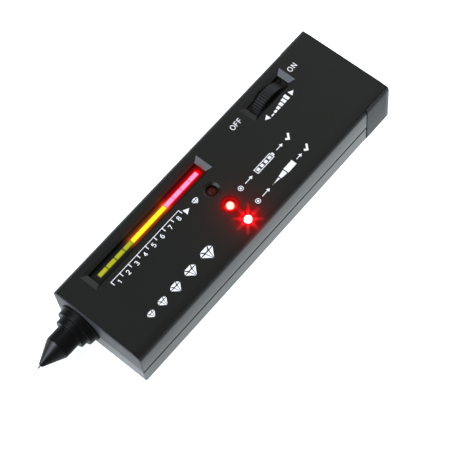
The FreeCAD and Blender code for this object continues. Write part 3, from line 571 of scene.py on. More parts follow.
def patches(size, low, high):
    """A mask of soft blotches."""
    def mask(tree, where, x, y, z):
        return ramp(tree, speckle(tree, where, size, 2.0), low, high)
    return mask


print("masks can be joined with", both.__name__, "and", either.__name__)

# %% [markdown]
# ## Masks that repeat
# Screw threads, tracks, pads and the turns of a spring come in rows or rings, so their
# masks are worked out from a pitch or from the nearest of several spots.

# %% Repeated masks
def near_spots(spots, low, high, soft=0.05):
    """Rings or discs: 1 where the distance to the nearest (x, y) lies between low and high."""
    def mask(tree, where, x, y, z):
        nearest = None
        for back, side in spots:
            away = apart(tree, calc(tree, "SUBTRACT", x, back), calc(tree, "SUBTRACT", y, side))
            nearest = away if nearest is None else calc(tree, "MINIMUM", nearest, away)
        return band(tree, nearest, low, high, soft)
    return mask


def disc(spots, radius, low, high, soft=0.05):
    """Discs about the spots, on the faces between two heights."""
    return both(near_spots(spots, -1.0, radius), within(low, high, "z", soft))


def repeated(axis, start, pitch, width, soft=0.05):
    """Equal bands, one every pitch along an axis from start."""
    def mask(tree, where, x, y, z):
        along = calc(tree, "SUBTRACT", {"x": x, "y": y, "z": z}[axis], start)
        return band(tree, calc(tree, "PINGPONG", along, pitch / 2), -1.0, width / 2, soft)
    return mask


SPRING_PITCH = 1.1


def coil(tree, where, x, y, z):
    """Dark gaps of a spring wound round the probe's axis: sin(tau x / pitch + angle) below a level."""
    angle = calc(tree, "ARCTAN2", calc(tree, "SUBTRACT", z, NOSE_LEVEL), calc(tree, "SUBTRACT", y, NOSE_SIDE))
    wave = calc(tree, "SINE", calc(tree, "MULTIPLY_ADD", x, math.tau / SPRING_PITCH, angle))
    return calc(tree, "MULTIPLY_ADD", wave, -2.5, -0.2, clamp=True)


print("a turn of the spring every", SPRING_PITCH, "mm")

# %% [markdown]
# ## Metal parts inside
# The probe's slug and spring, the screws and the plates are metal. Each has the marks of
# how it is made: turned grooves, a wound gap, a cut thread or a brushed drift.

# %% Metal finishes
TIN, BRASS, CREAM = (0.6, 0.6, 0.58), (0.6, 0.4, 0.14), (0.7, 0.66, 0.55)
TINNED = (TIN, 1.0, 0.3)
PAD_TIN = (TIN, 1.0, 0.35)
CASE_SCREWS = [(8.0, -18.2), (8.0, 18.2), (97.5, -18.2), (137.5, 16.0)]
BOARD_SCREWS = [(24.0, -17.0), (24.0, 4.5), (90.0, 4.5)]


def bare_metal(name, colour, gloss, mark, **more):
    """Metal with one mark on it."""
    return moulded(name, colour, gloss, marks=[mark], metal=1.0, **{"grain": 0.5, "depth": 0.002, **more})


def screw_metal(name, foot, pitch, gap, spots, recess):
    """Thread gaps above the head, and a dull ring between the two radii of recess in the head."""
    thread = both(repeated("z", foot, pitch, gap), within(foot, 30.0, "z"))
    return moulded(name, (0.55, 0.55, 0.53), 0.3, grain=0.4, depth=0.003, metal=1.0,
                   marks=[(thread, (0.2, 0.2, 0.2), 1.0, 0.5),
                          (near_spots(spots, *recess), (0.35, 0.35, 0.34), 1.0, 0.45)])


steel = bare_metal("zinc_plated_steel", (0.62, 0.62, 0.6), 0.28,
                   (patches(0.9, 0.5, 0.8), (0.5, 0.5, 0.46), 1.0, 0.4))
inner = {
    "pot_body": steel, "wheel_screw": steel,
    "case_screws": screw_metal("zinc_case_screw", 4.0, 0.8, 0.3, CASE_SCREWS, (2.0, 2.3)),
    "board_screws": screw_metal("zinc_board_screw", 14.0, 0.7, 0.25, BOARD_SCREWS, (1.4, 1.65)),
    "probe_spring": bare_metal("wound_spring", (0.6, 0.6, 0.58), 0.25,
                               (coil, (0.015, 0.015, 0.015), 0.0, 0.7)),
    "heater_slug": bare_metal("turned_copper", (0.72, 0.36, 0.22), 0.3,
                              (repeated("x", -18.0, 0.4, 0.12), (0.45, 0.2, 0.11), 1.0, 0.42)),
    "touch_contact": bare_metal("gilded_contact", (0.8, 0.55, 0.2), 0.25,
                                (repeated("z", 2.0, 1.2, 0.35), (0.4, 0.27, 0.1), 1.0, 0.45)),
    "touch_plate": bare_metal("brushed_touch_plate", (0.6, 0.6, 0.61), 0.34,
                              (patches(7.0, 0.5, 0.8), (0.5, 0.5, 0.52), 1.0, 0.42),
                              grain=0.25, depth=0.006, stretch=(0.03, 1.0, 1.0)),
    "probe_needle": bare_metal("needle_steel", (0.3, 0.29, 0.28), 0.3,
                               (within(-26.4, -25.4, "x", 0.3), (0.5, 0.48, 0.45), 1.0, 0.2),
                               grain=0.3, depth=0.001),
}
print("metal finishes:", len(inner))

# %% [markdown]
# ## The board and the parts on it
# The laminate has tracks under its lacquer and tinned pads where legs come through. Chips
# have a dot by their first leg, resistors have colour bands, and cans have a scored top.

# %% Board finishes
BAR_LEGS = [(FIRST_LIGHT + LIGHT_PITCH * n + reach, LIGHT_ROW) for n in range(12) for reach in BAR_LEG_REACH]
LAMP_LEGS = [(LAMP_BACK + reach, side) for side in LAMP_SIDES.values() for reach in LAMP_LEG_REACH]
TRIMMER_SPOTS = [(64.3, -13.7), (64.3, -4.7)]
CAN_SPOTS = [(18.0, -2.0), (18.0, -10.0), (84.5, -15.5)]
RESISTOR_BANDS = {
    (0.09, 0.03, 0.01): [(35.9, 36.6), (49.9, 50.6)], (0.12, 0.02, 0.2): [(37.2, 37.8), (51.2, 51.8)],
    (0.75, 0.2, 0.01): [(38.4, 39.0), (52.4, 53.0)], (0.55, 0.35, 0.08): [(39.9, 40.5), (53.9, 54.5)],
}
resistor_marks = [(within(low, high, "x", 0.06), colour, 0.0, 0.3)
                  for colour, places in RESISTOR_BANDS.items() for low, high in places]
resistor_ends = outside(either(within(35.0, 41.2, "x", 0.02), within(49.0, 55.2, "x", 0.02)))


def chip_epoxy(name, low, high, dots):
    """Black epoxy between two places along y and tinned legs beyond it; a dot is a spot, a radius and
    its colour and roughness."""
    marks = [(outside(within(low, high, "y", 0.01)), *TINNED)]
    marks += [(disc([spot], radius, 19.2, 19.5), colour, 0.0, rough) for spot, radius, colour, rough in dots]
    return moulded(name, (0.012, 0.012, 0.013), 0.5, grain=0.2, marks=marks)


FIRST_LEG = (0.5, (0.03, 0.03, 0.03), 0.15)
track = ((0.02, 0.17, 0.05), 0.0, 0.3)
can_sleeve_stripe = both(near_spots(CAN_SPOTS, 1.2, 4.0), within(15.0, 21.9, "z"),
                         either(within(17.3, 18.7, "x"), within(83.8, 85.2, "x")))
can_top = within(21.93, 23.0, "z", 0.02)
can_score = both(can_top, near_spots(CAN_SPOTS, -1.0, 1.6),
                 either(within(17.9, 18.1, "x"), within(84.4, 84.6, "x")))
inner.update({
    "main_board": moulded("board_green", (0.012, 0.09, 0.03), 0.3, grain=0.5, depth=0.003, marks=[
        (both(repeated("y", -20.3, 1.27, 0.45), patches(6.0, 0.46, 0.5)), *track),
        (both(repeated("x", 10.0, 2.54, 0.45), patches(9.0, 0.53, 0.56)), *track),
        (near_spots(BAR_LEGS[:12], 0.3, 0.85), *PAD_TIN), (near_spots(BAR_LEGS[12:], 0.3, 0.85), *PAD_TIN),
        (near_spots(LAMP_LEGS, 0.3, 0.95), *PAD_TIN), (near_spots(BOARD_SCREWS, 1.1, 2.3), *PAD_TIN)]),
    "bar_driver_chip": chip_epoxy("driver_chip_epoxy", -6.42, 0.02, [
        ((34.4, -3.2), *FIRST_LEG), ((55.0, -5.3), 0.35, CREAM, 0.5)]),
    "amplifier_chip": chip_epoxy("amplifier_chip_epoxy", -8.02, -1.58, [((79.6, -6.9), *FIRST_LEG)]),
    "resistors": moulded("resistor_lacquer", (0.62, 0.45, 0.27), 0.3, grain=0.6, depth=0.002,
                         marks=resistor_marks + [(resistor_ends, *TINNED)]),
    "capacitors": moulded("capacitor_sleeve", (0.01, 0.012, 0.03), 0.35, grain=0.4, marks=[
        (can_sleeve_stripe, (0.45, 0.47, 0.5), 0.0, 0.4), (can_top, (0.65, 0.65, 0.66), 1.0, 0.35),
        (can_score, (0.2, 0.2, 0.2), 1.0, 0.5)]),
    "trimmers": moulded("trimmer_blue", (0.02, 0.09, 0.4), 0.35, grain=0.4, marks=[
        (disc(TRIMMER_SPOTS, 2.0, 19.4, 21.0), CREAM, 0.0, 0.4),
        (disc(TRIMMER_SPOTS, 1.6, 19.4, 21.0), BRASS, 1.0, 0.3)]),
    "buzzer": moulded("buzzer_can", (0.01, 0.01, 0.011), 0.4, grain=0.3, marks=[
        (near_spots([(91.0, -4.0)], 4.4, 4.9), (0.03, 0.03, 0.03), 0.0, 0.25),
        (near_spots([(91.0, -4.0)], 1.0, 1.7), (0.05, 0.05, 0.05), 0.0, 0.3)]),
})
print("finishes inside so far:", len(inner))

# %% [markdown]
# ## Battery, leads and small mouldings
# The battery has a printed jacket between two bare ends, leads are tinned where they meet
# the board, and the nylon parts keep fine rings from turning.

# %% Battery and lead finishes
lead_end = (within(13.2, 14.5, "z"), *TINNED)
jacket = within(109.2, 153.2, "x")
inner.update({
    "battery_9v": moulded("battery_jacket", (0.02, 0.035, 0.06), 0.32, grain=1.2, depth=0.003, marks=[
        (within(150.6, 152.4, "x"), (0.5, 0.5, 0.5), 0.0, 0.3),
        (within(112.0, 122.0, "x"), (0.42, 0.44, 0.46), 0.0, 0.3),
        (outside(jacket), (0.55, 0.55, 0.54), 1.0, 0.3),
        (both(within(-7.9, -7.6, "y"), jacket), (0.01, 0.015, 0.03), 0.0, 0.4)]),
    "battery_snap": moulded("snap_vinyl", (0.01, 0.01, 0.01), 0.4, grain=0.5, depth=0.01, marks=[
        (repeated("y", -20.8, 1.3, 0.25), (0.02, 0.02, 0.02), 0.0, 0.6)]),
    "battery_pad": moulded("foam_pad", (0.05, 0.05, 0.055), 0.9, grain=0.5, depth=0.25, drift=0.4, marks=[
        (patches(0.7, 0.55, 0.68), (0.008, 0.008, 0.009), 0.0, 1.0)]),
    "lead_red": moulded("red_lead", (0.45, 0.015, 0.01), 0.35, grain=0.5, marks=[lead_end]),
    "lead_black": moulded("black_lead", (0.012, 0.012, 0.012), 0.35, grain=0.5, marks=[lead_end]),
    "probe_leads": moulded("grey_lead", (0.2, 0.2, 0.21), 0.4, grain=0.5, marks=[
        (within(-7.0, -5.4, "x"), (0.6, 0.33, 0.2), 1.0, 0.3), (within(13.3, 14.5, "z"), *TINNED)]),
    "thermistor": moulded("thermistor_glass", (0.35, 0.08, 0.03), 0.15, grain=0.3, depth=0.001, drift=0.4),
    "probe_bush": moulded("bush_nylon", (0.55, 0.53, 0.47), 0.45, grain=0.4, marks=[
        (repeated("x", 0.0, 1.3, 0.08), (0.42, 0.4, 0.34), 0.0, 0.5)]),
    "pot_shaft": moulded("shaft_nylon", (0.55, 0.53, 0.47), 0.4, grain=0.4, marks=[
        (repeated("y", 8.2, 0.9, 0.1), (0.4, 0.38, 0.33), 0.0, 0.5)]),
})
print("finishes inside:", len(inner))

# %% [markdown]
# ## Giving each solid its finish
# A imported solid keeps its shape, and only its material is exchanged.

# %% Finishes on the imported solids
FINISH_OF = {"upper_shell": case_finish, "lower_shell": tray_finish, "battery_cover": cover_finish,
             "led_mask": mask_finish, **inner}
for node_name, finish in FINISH_OF.items():
    solid = nodes_of_case[node_name].data
    solid.materials.clear()
    solid.materials.append(finish)
print("finished", len(FINISH_OF), "packed solids")

# %% [markdown]
# ## The nose
# The nose is one turned moulding: a flange behind the front wall, three rings, a barrel
# and a cone. A closed profile carried round the probe's axis gives it in one surface.

# %% Nose cone
NOSE_PROFILE = [
    (4.2, 2.0), (4.2, 9.3), (2.1, 9.3), (2.1, 7.6), (-0.02, 7.6), (-0.02, 9.85), (-1.0, 9.8),
    (-1.0, 9.2), (-4.0, 9.0), (-4.0, 7.4), (-7.1, 7.2), (-7.1, 5.5), (CONE_FOOT, 5.5), (-23.6, 1.1),
    (-24.0, 0.8), (-24.0, 0.45), (-18.0, 0.45), (-18.0, 2.0),
]
NOSE_ROUNDING = [0.1, 0.2, 0.2, 0.1, 0.05, 0.2, 0.3, 0.2, 0.45, 0.35, 0.45, 0.35, 0.7, 0.35, 0.2,
                 0.05, 0.05, 0.1]
nose_points, nose_faces = turned(rounded(NOSE_PROFILE, NOSE_ROUNDING, steps=6), NOSE_SIDE, NOSE_LEVEL, 128)
new_piece("nose_turned", nose_points, nose_faces, nose_finish, "case", ["nose_cone"],
          "nose_plastic", crease=60)

# %% [markdown]
# ## The thumbwheel
# The wheel's rim is a row of fine ridges. Its radius dips by 0.45 mm times a narrow
# bump in the angle, repeated 52 times, so the ridges stay round and the grooves thin.

# %% Thumbwheel
RIDGES, GROOVE = 52, 0.45
WHEEL_PROFILE = [(11.8, 3.02), (11.8, 10.3), (16.6, 10.3), (16.6, 5.0), (15.4, 5.0), (15.4, 3.02)]


def wheel_surface(columns=RIDGES * 14):
    """r(a) = r0 - GROOVE ((1 + cos 52a) / 2)^3 near the rim; x = r cos a, z = r sin a, y along the axis."""
    side, radius = rounded(WHEEL_PROFILE, [0.1, 0.5, 0.5, 0.2, 0.2, 0.1], steps=6).T
    angle = np.linspace(0, math.tau, columns, endpoint=False)
    groove = GROOVE * ((1 + np.cos(RIDGES * angle)) / 2) ** 3
    near_rim = np.clip((radius - 9.2) / 0.6, 0, 1)[:, None]
    reach = radius[:, None] - near_rim * groove
    points = np.stack(np.broadcast_arrays(WHEEL_BACK + reach * np.cos(angle), side[:, None],
                                          WHEEL_LEVEL + reach * np.sin(angle)), axis=-1)
    return points.reshape(-1, 3), grid_quads(len(side), columns, rows_wrap=True)


new_piece("thumbwheel_ribbed", *wheel_surface(), wheel_finish, "wheel", ["thumbwheel"],
          "wheel_plastic", crease=50)

# %% [markdown]
# ## The twelve bar lights
# Each is a flat resin block with a soft top edge, on two legs. A stack of rounded
# rectangles, drawn in a little towards the top, gives the block and its rounded edge.

# %% Bar light blocks
def ring(middle, half, corner, steps=5):
    """A rectangle of the given half sizes with rounded corners, about a middle."""
    signs = np.array([(1, 1), (-1, 1), (-1, -1), (1, -1)], float)
    return rounded(signs * half, corner, steps) + middle


def stacked(middle, half, corner, layers):
    """Layer (inset, z) is the rounded rectangle drawn in by inset, at z; both ends are closed."""
    rings = [ring(middle, np.subtract(half, inset), max(corner - inset, 0.02)) for inset, _ in layers]
    count = len(rings[0])
    levels = np.repeat([z for _, z in layers], count)
    points = np.column_stack([np.concatenate(rings), levels])
    faces = [list(face) for face in grid_quads(len(layers), count)]
    faces += [list(range(count))[::-1], list(range(count * (len(layers) - 1), count * len(layers)))]
    return points, faces


def soft_top(low, high, radius, steps=5):
    """Layers from low to high whose last radius millimetres follow a quarter circle."""
    a = np.linspace(0, math.pi / 2, steps)
    return [(0.0, low)] + list(zip(radius * (1 - np.cos(a)), high - radius + radius * np.sin(a)))


def bar_light(number):
    """One block and its two legs, counted from the nose's end."""
    start = FIRST_LIGHT + LIGHT_PITCH * number
    block = stacked((start + 2.43, LIGHT_ROW), (2.43, 1.0), 0.25, soft_top(15.5, 22.5, 0.2))
    legs = [stacked((start + reach, LIGHT_ROW), (0.25, 0.25), 0.05, [(0, 12.7), (0, 15.52)])
            for reach in BAR_LEG_REACH]
    return joined([block] + legs)


print("bar light 0 has", len(bar_light(0)[0]), "points")

# %% [markdown]
# ## Light from the lenses
# A lit lens is brightest over its chip and dims to its edges. Its glow is set in
# millimetres along the row, so each block carries its own bright middle.

# %% Lens finishes
def lit_lens(name, body_colour, core, rim, strength, rim_share, gap_soft):
    """Emission from rim_share of the strength at a block's ends up to all of it in its middle."""
    made, tree, shader = blank_finish(name)
    where, x, y, _ = place_in_mm(tree)
    along = calc(tree, "PINGPONG", calc(tree, "SUBTRACT", x, FIRST_LIGHT - 0.07), LIGHT_PITCH / 2)
    ends = calc(tree, "DIVIDE", along, gap_soft, clamp=True)
    aside = calc(tree, "ABSOLUTE", calc(tree, "SUBTRACT", y, LIGHT_ROW))
    across = calc(tree, "MULTIPLY", calc(tree, "SUBTRACT", 1.3, aside), 1.6, clamp=True)
    glow = calc(tree, "MULTIPLY", ends, across)
    grain = calc(tree, "MULTIPLY_ADD", speckle(tree, where, 0.7), 0.3, 0.85)
    tree.links.new(blend(tree, glow, rgba(rim), rgba(core)), shader.inputs["Emission Color"])
    level = calc(tree, "MULTIPLY_ADD", glow, 1.0 - rim_share, rim_share)
    tree.links.new(calc(tree, "MULTIPLY", level, calc(tree, "MULTIPLY", grain, strength)),
                   shader.inputs["Emission Strength"])
    shader.inputs["Base Color"].default_value = rgba(body_colour)
    shader.inputs["Specular IOR Level"].default_value = 0.25
    rough = calc(tree, "MULTIPLY_ADD", speckle(tree, where, 0.8), 0.2, 0.25)
    tree.links.new(rough, shader.inputs["Roughness"])
    return made


LIGHT_LOOKS = {
    "green": ((0.02, 0.025, 0.004), (0.8, 0.82, 0.01), (0.6, 0.55, 0.0), 0.55, 0.2, 0.55),
    "yellow": ((0.1, 0.06, 0.004), (1.0, 0.68, 0.012), (1.0, 0.5, 0.0), 1.4, 0.8, 0.2),
    "red": ((0.1, 0.01, 0.02), (1.0, 0.3, 0.56), (1.0, 0.1, 0.26), 1.25, 0.6, 0.35),
}
for order, (colour, look) in enumerate(LIGHT_LOOKS.items()):
    blocks = joined([bar_light(4 * order + place) for place in range(4)])
    new_piece("bar_lights_" + colour, *blocks, lit_lens(colour + "_lens_lit", *look), "case",
              ["bar_leds_" + colour], colour + "_lens", crease=50)

# %% [markdown]
# ## The three round lamps
# A 5 mm lamp is a barrel with a flange below and a dome on top. Its half profile runs
# from the pole of the dome down to the flange, and one turn about Z makes the lens.

# %% Lamp lenses
def lamp_surface(side, columns=64):
    """Profile (r, z) turned about Z: x = back + r cos a, y = side + r sin a."""
    dome = np.linspace(math.pi / 2, 0, 18)
    radius = np.concatenate([2.45 * np.cos(dome), [2.45, 2.9, 2.9, 2.9, 0.0]])
    level = np.concatenate([22.55 + 2.45 * np.sin(dome), [17.02, 16.98, 16.9, 16.0, 16.0]])
    angle = np.linspace(0, math.tau, columns, endpoint=False)
    points = np.stack(np.broadcast_arrays(LAMP_BACK + radius[:, None] * np.cos(angle),
                                          side + radius[:, None] * np.sin(angle), level[:, None]), axis=-1)
    lens = points.reshape(-1, 3), grid_quads(len(radius), columns)
    legs = [stacked((LAMP_BACK + reach, side), (0.25, 0.25), 0.05, [(0, 12.7), (0, 16.02)])
            for reach in LAMP_LEG_REACH]
    return joined([lens] + legs)


print("a lamp has", len(lamp_surface(0.0)[0]), "points")

# %% [markdown]
# ## Glow of the lamps
# A lit lamp is pale over its chip and red round it. The ready lamp has a spark in its
# middle that is bright enough for the glare, and the unlit alert lamp has only a faint painted glow.

# %% Lamps
def lamp_finish(name, centre, core, rim, core_strength, rim_strength, core_edge, spark=0.0, gloss=0.08,
                shine=0.5):
    """Emission that falls smoothly from core to rim over 0.7 mm round core_edge from the centre, and
    a small spark in the middle where one is given."""
    made, tree, shader = blank_finish(name)
    where, x, y, _ = place_in_mm(tree)
    from_axis = from_spot(tree, x, y, centre)
    share = ramp(tree, from_axis, core_edge + 0.35, core_edge - 0.35, kind="SMOOTHSTEP")
    ripple = calc(tree, "MULTIPLY_ADD", speckle(tree, where, 1.2), 0.3, 0.85)
    tree.links.new(blend(tree, share, rgba(rim), rgba(core)), shader.inputs["Emission Color"])
    level = calc(tree, "MULTIPLY", mixed(tree, share, rim_strength, core_strength), ripple)
    if spark:
        level = calc(tree, "MULTIPLY_ADD", ramp(tree, from_axis, 0.95, 0.6), spark, level)
    tree.links.new(level, shader.inputs["Emission Strength"])
    shader.inputs["Base Color"].default_value = rgba((0.03, 0.002, 0.001))
    rough = calc(tree, "MULTIPLY_ADD", speckle(tree, where, 0.8), 0.1, gloss)
    tree.links.new(rough, shader.inputs["Roughness"])
    shader.inputs["Specular IOR Level"].default_value = shine
    return made


LAMP_LOOKS = {
    # The unlit alert lamp's faint brown emission is a painted glow in its lens.
    "alert_lamp": ("lamp_dark", (0.019, 0.006, 0.0024), (0.011, 0.005, 0.0035), 1.0, 1.0, 1.7,
                   0.0, 0.45, 0.12),
    "battery_lamp": ("lamp_red", (1.0, 0.84, 0.68), (1.0, 0.03, 0.02), 1.15, 0.85, 1.6),
    "ready_lamp": ("lamp_red", (1.0, 0.95, 0.9), (1.0, 0.03, 0.025), 4.0, 0.62, 1.6, 30.0),
}
for lamp_name, (slot_name, *look) in LAMP_LOOKS.items():
    lens_finish = lamp_finish(lamp_name + "_lens", GLOW_CENTRE[lamp_name], *look)
    new_piece(lamp_name + "_dome", *lamp_surface(LAMP_SIDES[lamp_name]), lens_finish, "case", [lamp_name],
              slot_name, crease=50)

# %% [markdown]
# ## The prints on the face
# White ink is pad printed on the case: a scale with ticks and numbers, switch marks and
# small signs. Each mark is a thin closed plate, twenty micrometres proud of the face. A
# small emission keeps the ink as bright as it is in the picture.

# %% Ink
ink_finish = moulded("white_print", (0.9, 0.9, 0.9), 0.5, grain=0.3, depth=0.002, drift=0.04, shine=0.3)
ink_shader = ink_finish.node_tree.nodes["Principled BSDF"]
ink_shader.inputs["Emission Color"].default_value = rgba((0.95, 0.98, 1.0))
ink_shader.inputs["Emission Strength"].default_value = 0.2
INK_LOW, INK_HIGH = FACE_LEVEL - 0.01, FACE_LEVEL + 0.02


def plate(corners):
    """A flat outline given a thickness: its ring at INK_LOW and at INK_HIGH, joined and closed."""
    flat = np.asarray(corners, float)
    count = len(flat)
    low = np.column_stack([flat, np.full(count, INK_LOW)])
    high = np.column_stack([flat, np.full(count, INK_HIGH)])
    faces = [list(face) for face in grid_quads(2, count)]
    faces += [list(range(count))[::-1], list(range(count, 2 * count))]
    return np.concatenate([low, high]), faces


def stroke(start, end, width):
    """A straight line of the given width with square ends."""
    start, end = np.asarray(start, float), np.asarray(end, float)
    along = (end - start) / np.linalg.norm(end - start) * width / 2
    aside = np.array([-along[1], along[0]])
    return plate([start - along - aside, end + along - aside, end + along + aside, start - along + aside])


print("ink from", INK_LOW, "to", INK_HIGH, "mm above the foot")

# %% [markdown]
# ## Curved strokes
# A curved stroke is a chain of points widened to a flat band. A bow is part of an ellipse,
# and a loop is nearly all of one, whose last point joins the first.

# %% Ribbons
def ribbon(corners, width, closed=False):
    """A chain of points as one flat band: each point moves half the width along its mean normal, to
    both sides and to both ink levels, and the four rails are joined."""
    line = np.asarray(corners, float)
    ahead, back = np.roll(line, -1, axis=0) - line, line - np.roll(line, 1, axis=0)
    if not closed:
        ahead[-1], back[0] = back[-1], ahead[0]
    ahead /= np.linalg.norm(ahead, axis=1, keepdims=True)
    back /= np.linalg.norm(back, axis=1, keepdims=True)
    mean = (ahead + back) / np.maximum(1.0 + np.sum(ahead * back, axis=1, keepdims=True), 0.5)
    aside = np.column_stack([-mean[:, 1], mean[:, 0]]) * width / 2
    rails = [np.column_stack([line + sign * aside, np.full(len(line), level)])
             for sign, level in ((1, INK_LOW), (-1, INK_LOW), (-1, INK_HIGH), (1, INK_HIGH))]
    faces = [list(face) for face in grid_quads(len(line), 4, rows_wrap=closed)]
    if not closed:
        faces += [[0, 1, 2, 3], [4 * len(line) - 1 - corner for corner in range(4)]]
    return np.stack(rails, axis=1).reshape(-1, 3), faces


def bow(centre_x, centre_y, reach_x, reach_y, start, end, count=15):
    """Points of an ellipse from one angle to another, in degrees."""
    angle = np.radians(np.linspace(start, end, count))
    return list(zip(centre_x + reach_x * np.cos(angle), centre_y + reach_y * np.sin(angle)))


def loop(centre_x, centre_y, reach_x, reach_y):
    """Points of a whole ellipse, one every 15 degrees."""
    return bow(centre_x, centre_y, reach_x, reach_y, 0, 345, 24)


print("a loop has", len(loop(0, 0, 1, 1)), "points")

# %% [markdown]
# ## Figures and letters
# The scale has its figures and the wheel its two end words. Each glyph is a few chains on
# a unit high grid, and wide and narrow letters advance by their own width.

# %% Glyphs
GLYPHS = {
    "1": [[(-0.2, 0.24), (0.04, 0.46)], [(0.06, 0.5), (0.06, -0.5)]],
    "2": [bow(0, 0.2, 0.28, 0.3, 165, -35) + [(-0.26, -0.47)], [(-0.32, -0.5), (0.32, -0.5)]],
    "3": [bow(-0.02, 0.26, 0.26, 0.24, 150, -80) + bow(-0.02, -0.24, 0.3, 0.26, 80, -150)],
    "4": [[(0.14, -0.5), (0.14, 0.5)], [(0.12, 0.46), (-0.28, -0.2)], [(-0.32, -0.22), (0.34, -0.22)]],
    "5": [[(0.27, 0.5), (-0.2, 0.5), (-0.24, 0.08)] + bow(-0.02, -0.18, 0.3, 0.32, 110, -150)],
    "6": [loop(0, -0.2, 0.28, 0.3), [(-0.28, -0.2), (-0.27, 0.08), (-0.17, 0.32), (0.0, 0.47), (0.2, 0.5)]],
    "7": [[(-0.3, 0.5), (0.32, 0.5)], [(0.27, 0.46), (-0.08, -0.5)]],
    "8": [loop(0, 0.26, 0.24, 0.24), loop(0, -0.24, 0.3, 0.26)],
    "O": [loop(0, 0, 0.37, 0.5)],
    "N": [[(-0.31, -0.5), (-0.31, 0.5)], [(-0.28, 0.46), (0.28, -0.46)], [(0.31, -0.5), (0.31, 0.5)]],
    "F": [[(0.28, 0.5), (-0.26, 0.5), (-0.26, -0.5)], [(-0.26, 0.03), (0.2, 0.03)]],
}
LOOPED = {("6", 0), ("8", 0), ("8", 1), ("O", 0)}
ADVANCE = {"O": 1.12, "N": 1.04, "F": 0.86}


def printed(word, middle, height, weight=0.34):
    """Each glyph's chains as ribbons, scaled so that the outer height is the given one."""
    tall = height - weight
    widths = [ADVANCE.get(letter, 1.0) * tall for letter in word]
    starts = np.cumsum([0.0] + widths[:-1]) - sum(widths) / 2
    marks = []
    for letter, start, width in zip(word, starts, widths):
        shift = np.array(middle) + (start + width / 2, 0.0)
        for order, chain in enumerate(GLYPHS[letter]):
            marks.append(ribbon(np.array(chain) * tall + shift, weight, (letter, order) in LOOPED))
    return marks


print("glyphs:", "".join(GLYPHS))

# %% [markdown]
# ## The scale beside the bar lights
# A line with nine ticks marks eight steps, numbered one to eight, and an arrow points on
# to the last lights.

# %% Scale print
SCALE_START, SCALE_END, SCALE_SIDE = 17.2, 57.9, 7.15
tick_places = np.linspace(SCALE_START, SCALE_END, 9)
scale_marks = [stroke((SCALE_START, SCALE_SIDE), (SCALE_END, SCALE_SIDE), 0.28)]
scale_marks += [stroke((x, SCALE_SIDE), (x, SCALE_SIDE - 1.8), 0.36) for x in tick_places]
number_places = (tick_places[1:] + tick_places[:-1]) / 2
for step, x in enumerate(number_places, start=1):
    scale_marks += printed(str(step), (x, 4.7), 2.3)
scale_marks += [plate([(58.9, 3.1), (61.5, 4.5), (58.9, 5.9)])]
new_piece("printed_scale", *joined(scale_marks), ink_finish, "case")

# %% [markdown]
# ## Signs for the wheel
# The wheel has its two end words, and a row of rising bars between two arrows that grows
# with the level.

# %% Wheel signs
BAR_FOOT = 5.4
level_bars = [plate([(x, BAR_FOOT), (x + 1.5, BAR_FOOT), (x + 1.5, BAR_FOOT + tall), (x, BAR_FOOT + tall)])
              for x, tall in zip(np.arange(115.2, 127.0, 2.02), np.linspace(0.6, 2.7, 6))]
switch_marks = printed("OFF", (103.0, 14.9), 2.65) + printed("ON", (138.8, 14.2), 2.65)
switch_marks += [plate([(114.3, 5.3), (114.3, 7.9), (112.0, 6.6)]),
                 plate([(128.2, 5.3), (130.5, 6.6), (128.2, 7.9)])]
new_piece("printed_switch_marks", *joined(switch_marks + level_bars), ink_finish, "case")

# %% [markdown]
# ## Signs for the lamps
# Two lamps have a row of signs each: a lamp, then a battery or a probe, then a check mark.

# %% Lamp signs
def check(middle, size):
    """A tick as one solid outline."""
    outline = np.array([(-0.55, 0.02), (-0.33, 0.24), (-0.12, 0.0), (0.36, 0.56), (0.58, 0.36),
                        (-0.12, -0.4)])
    return [plate(outline * size + middle)]


def lamp_sign(back, side):
    """A lens seen from above: a disc inside a ring."""
    return [ribbon(np.array(loop(0, 0, 1.05, 1.05)) + (back, side), 0.3, True),
            plate(np.array(loop(0, 0, 0.5, 0.5)) + (back, side))]


def arrow(start, end, side):
    """A short line with a solid head."""
    return [stroke((start, side), (end - 1.0, side), 0.34),
            plate([(end - 1.1, side - 0.85), (end + 0.3, side), (end - 1.1, side + 0.85)])]


def sign_row(side, middle_sign, arrow_ends, check_back):
    """A lamp, an arrow, the sign in the middle, another arrow and a check mark."""
    return (lamp_sign(81.3, side) + arrow(84.2, 88.4, side) + middle_sign
            + arrow(*arrow_ends, side) + check((check_back, side), 3.2))


battery_sign = [ribbon([(91.0, -7.25), (101.0, -7.25), (101.0, -4.95), (91.0, -4.95)], 0.36, True),
                stroke((101.7, -6.5), (101.7, -5.7), 0.7)]
battery_sign += [plate([(a, -6.75), (a + 1.5, -6.75), (a + 1.5, -5.45), (a, -5.45)])
                 for a in (91.7, 94.05, 96.4, 98.75)]
probe_sign = [plate([(90.4, -15.42), (94.6, -14.85), (94.6, -15.75), (90.4, -15.18)]),
              plate([(95.1, -14.6), (98.4, -14.15), (98.4, -16.45), (95.1, -16.0)]),
              plate([(98.9, -13.95), (104.2, -13.95), (104.2, -16.65), (98.9, -16.65)])]
lamp_marks = (sign_row(-6.1, battery_sign, (104.2, 107.6), 111.6)
              + sign_row(-15.3, probe_sign, (105.9, 108.9), 112.4))
new_piece("printed_lamp_marks", *joined(lamp_marks), ink_finish, "case")

# %% [markdown]
# ## Cut stones
# A row of cut stones that grow in size stands for what the tester is for. Each is drawn as
# solid facets with thin gaps: three over the girdle and three under it.

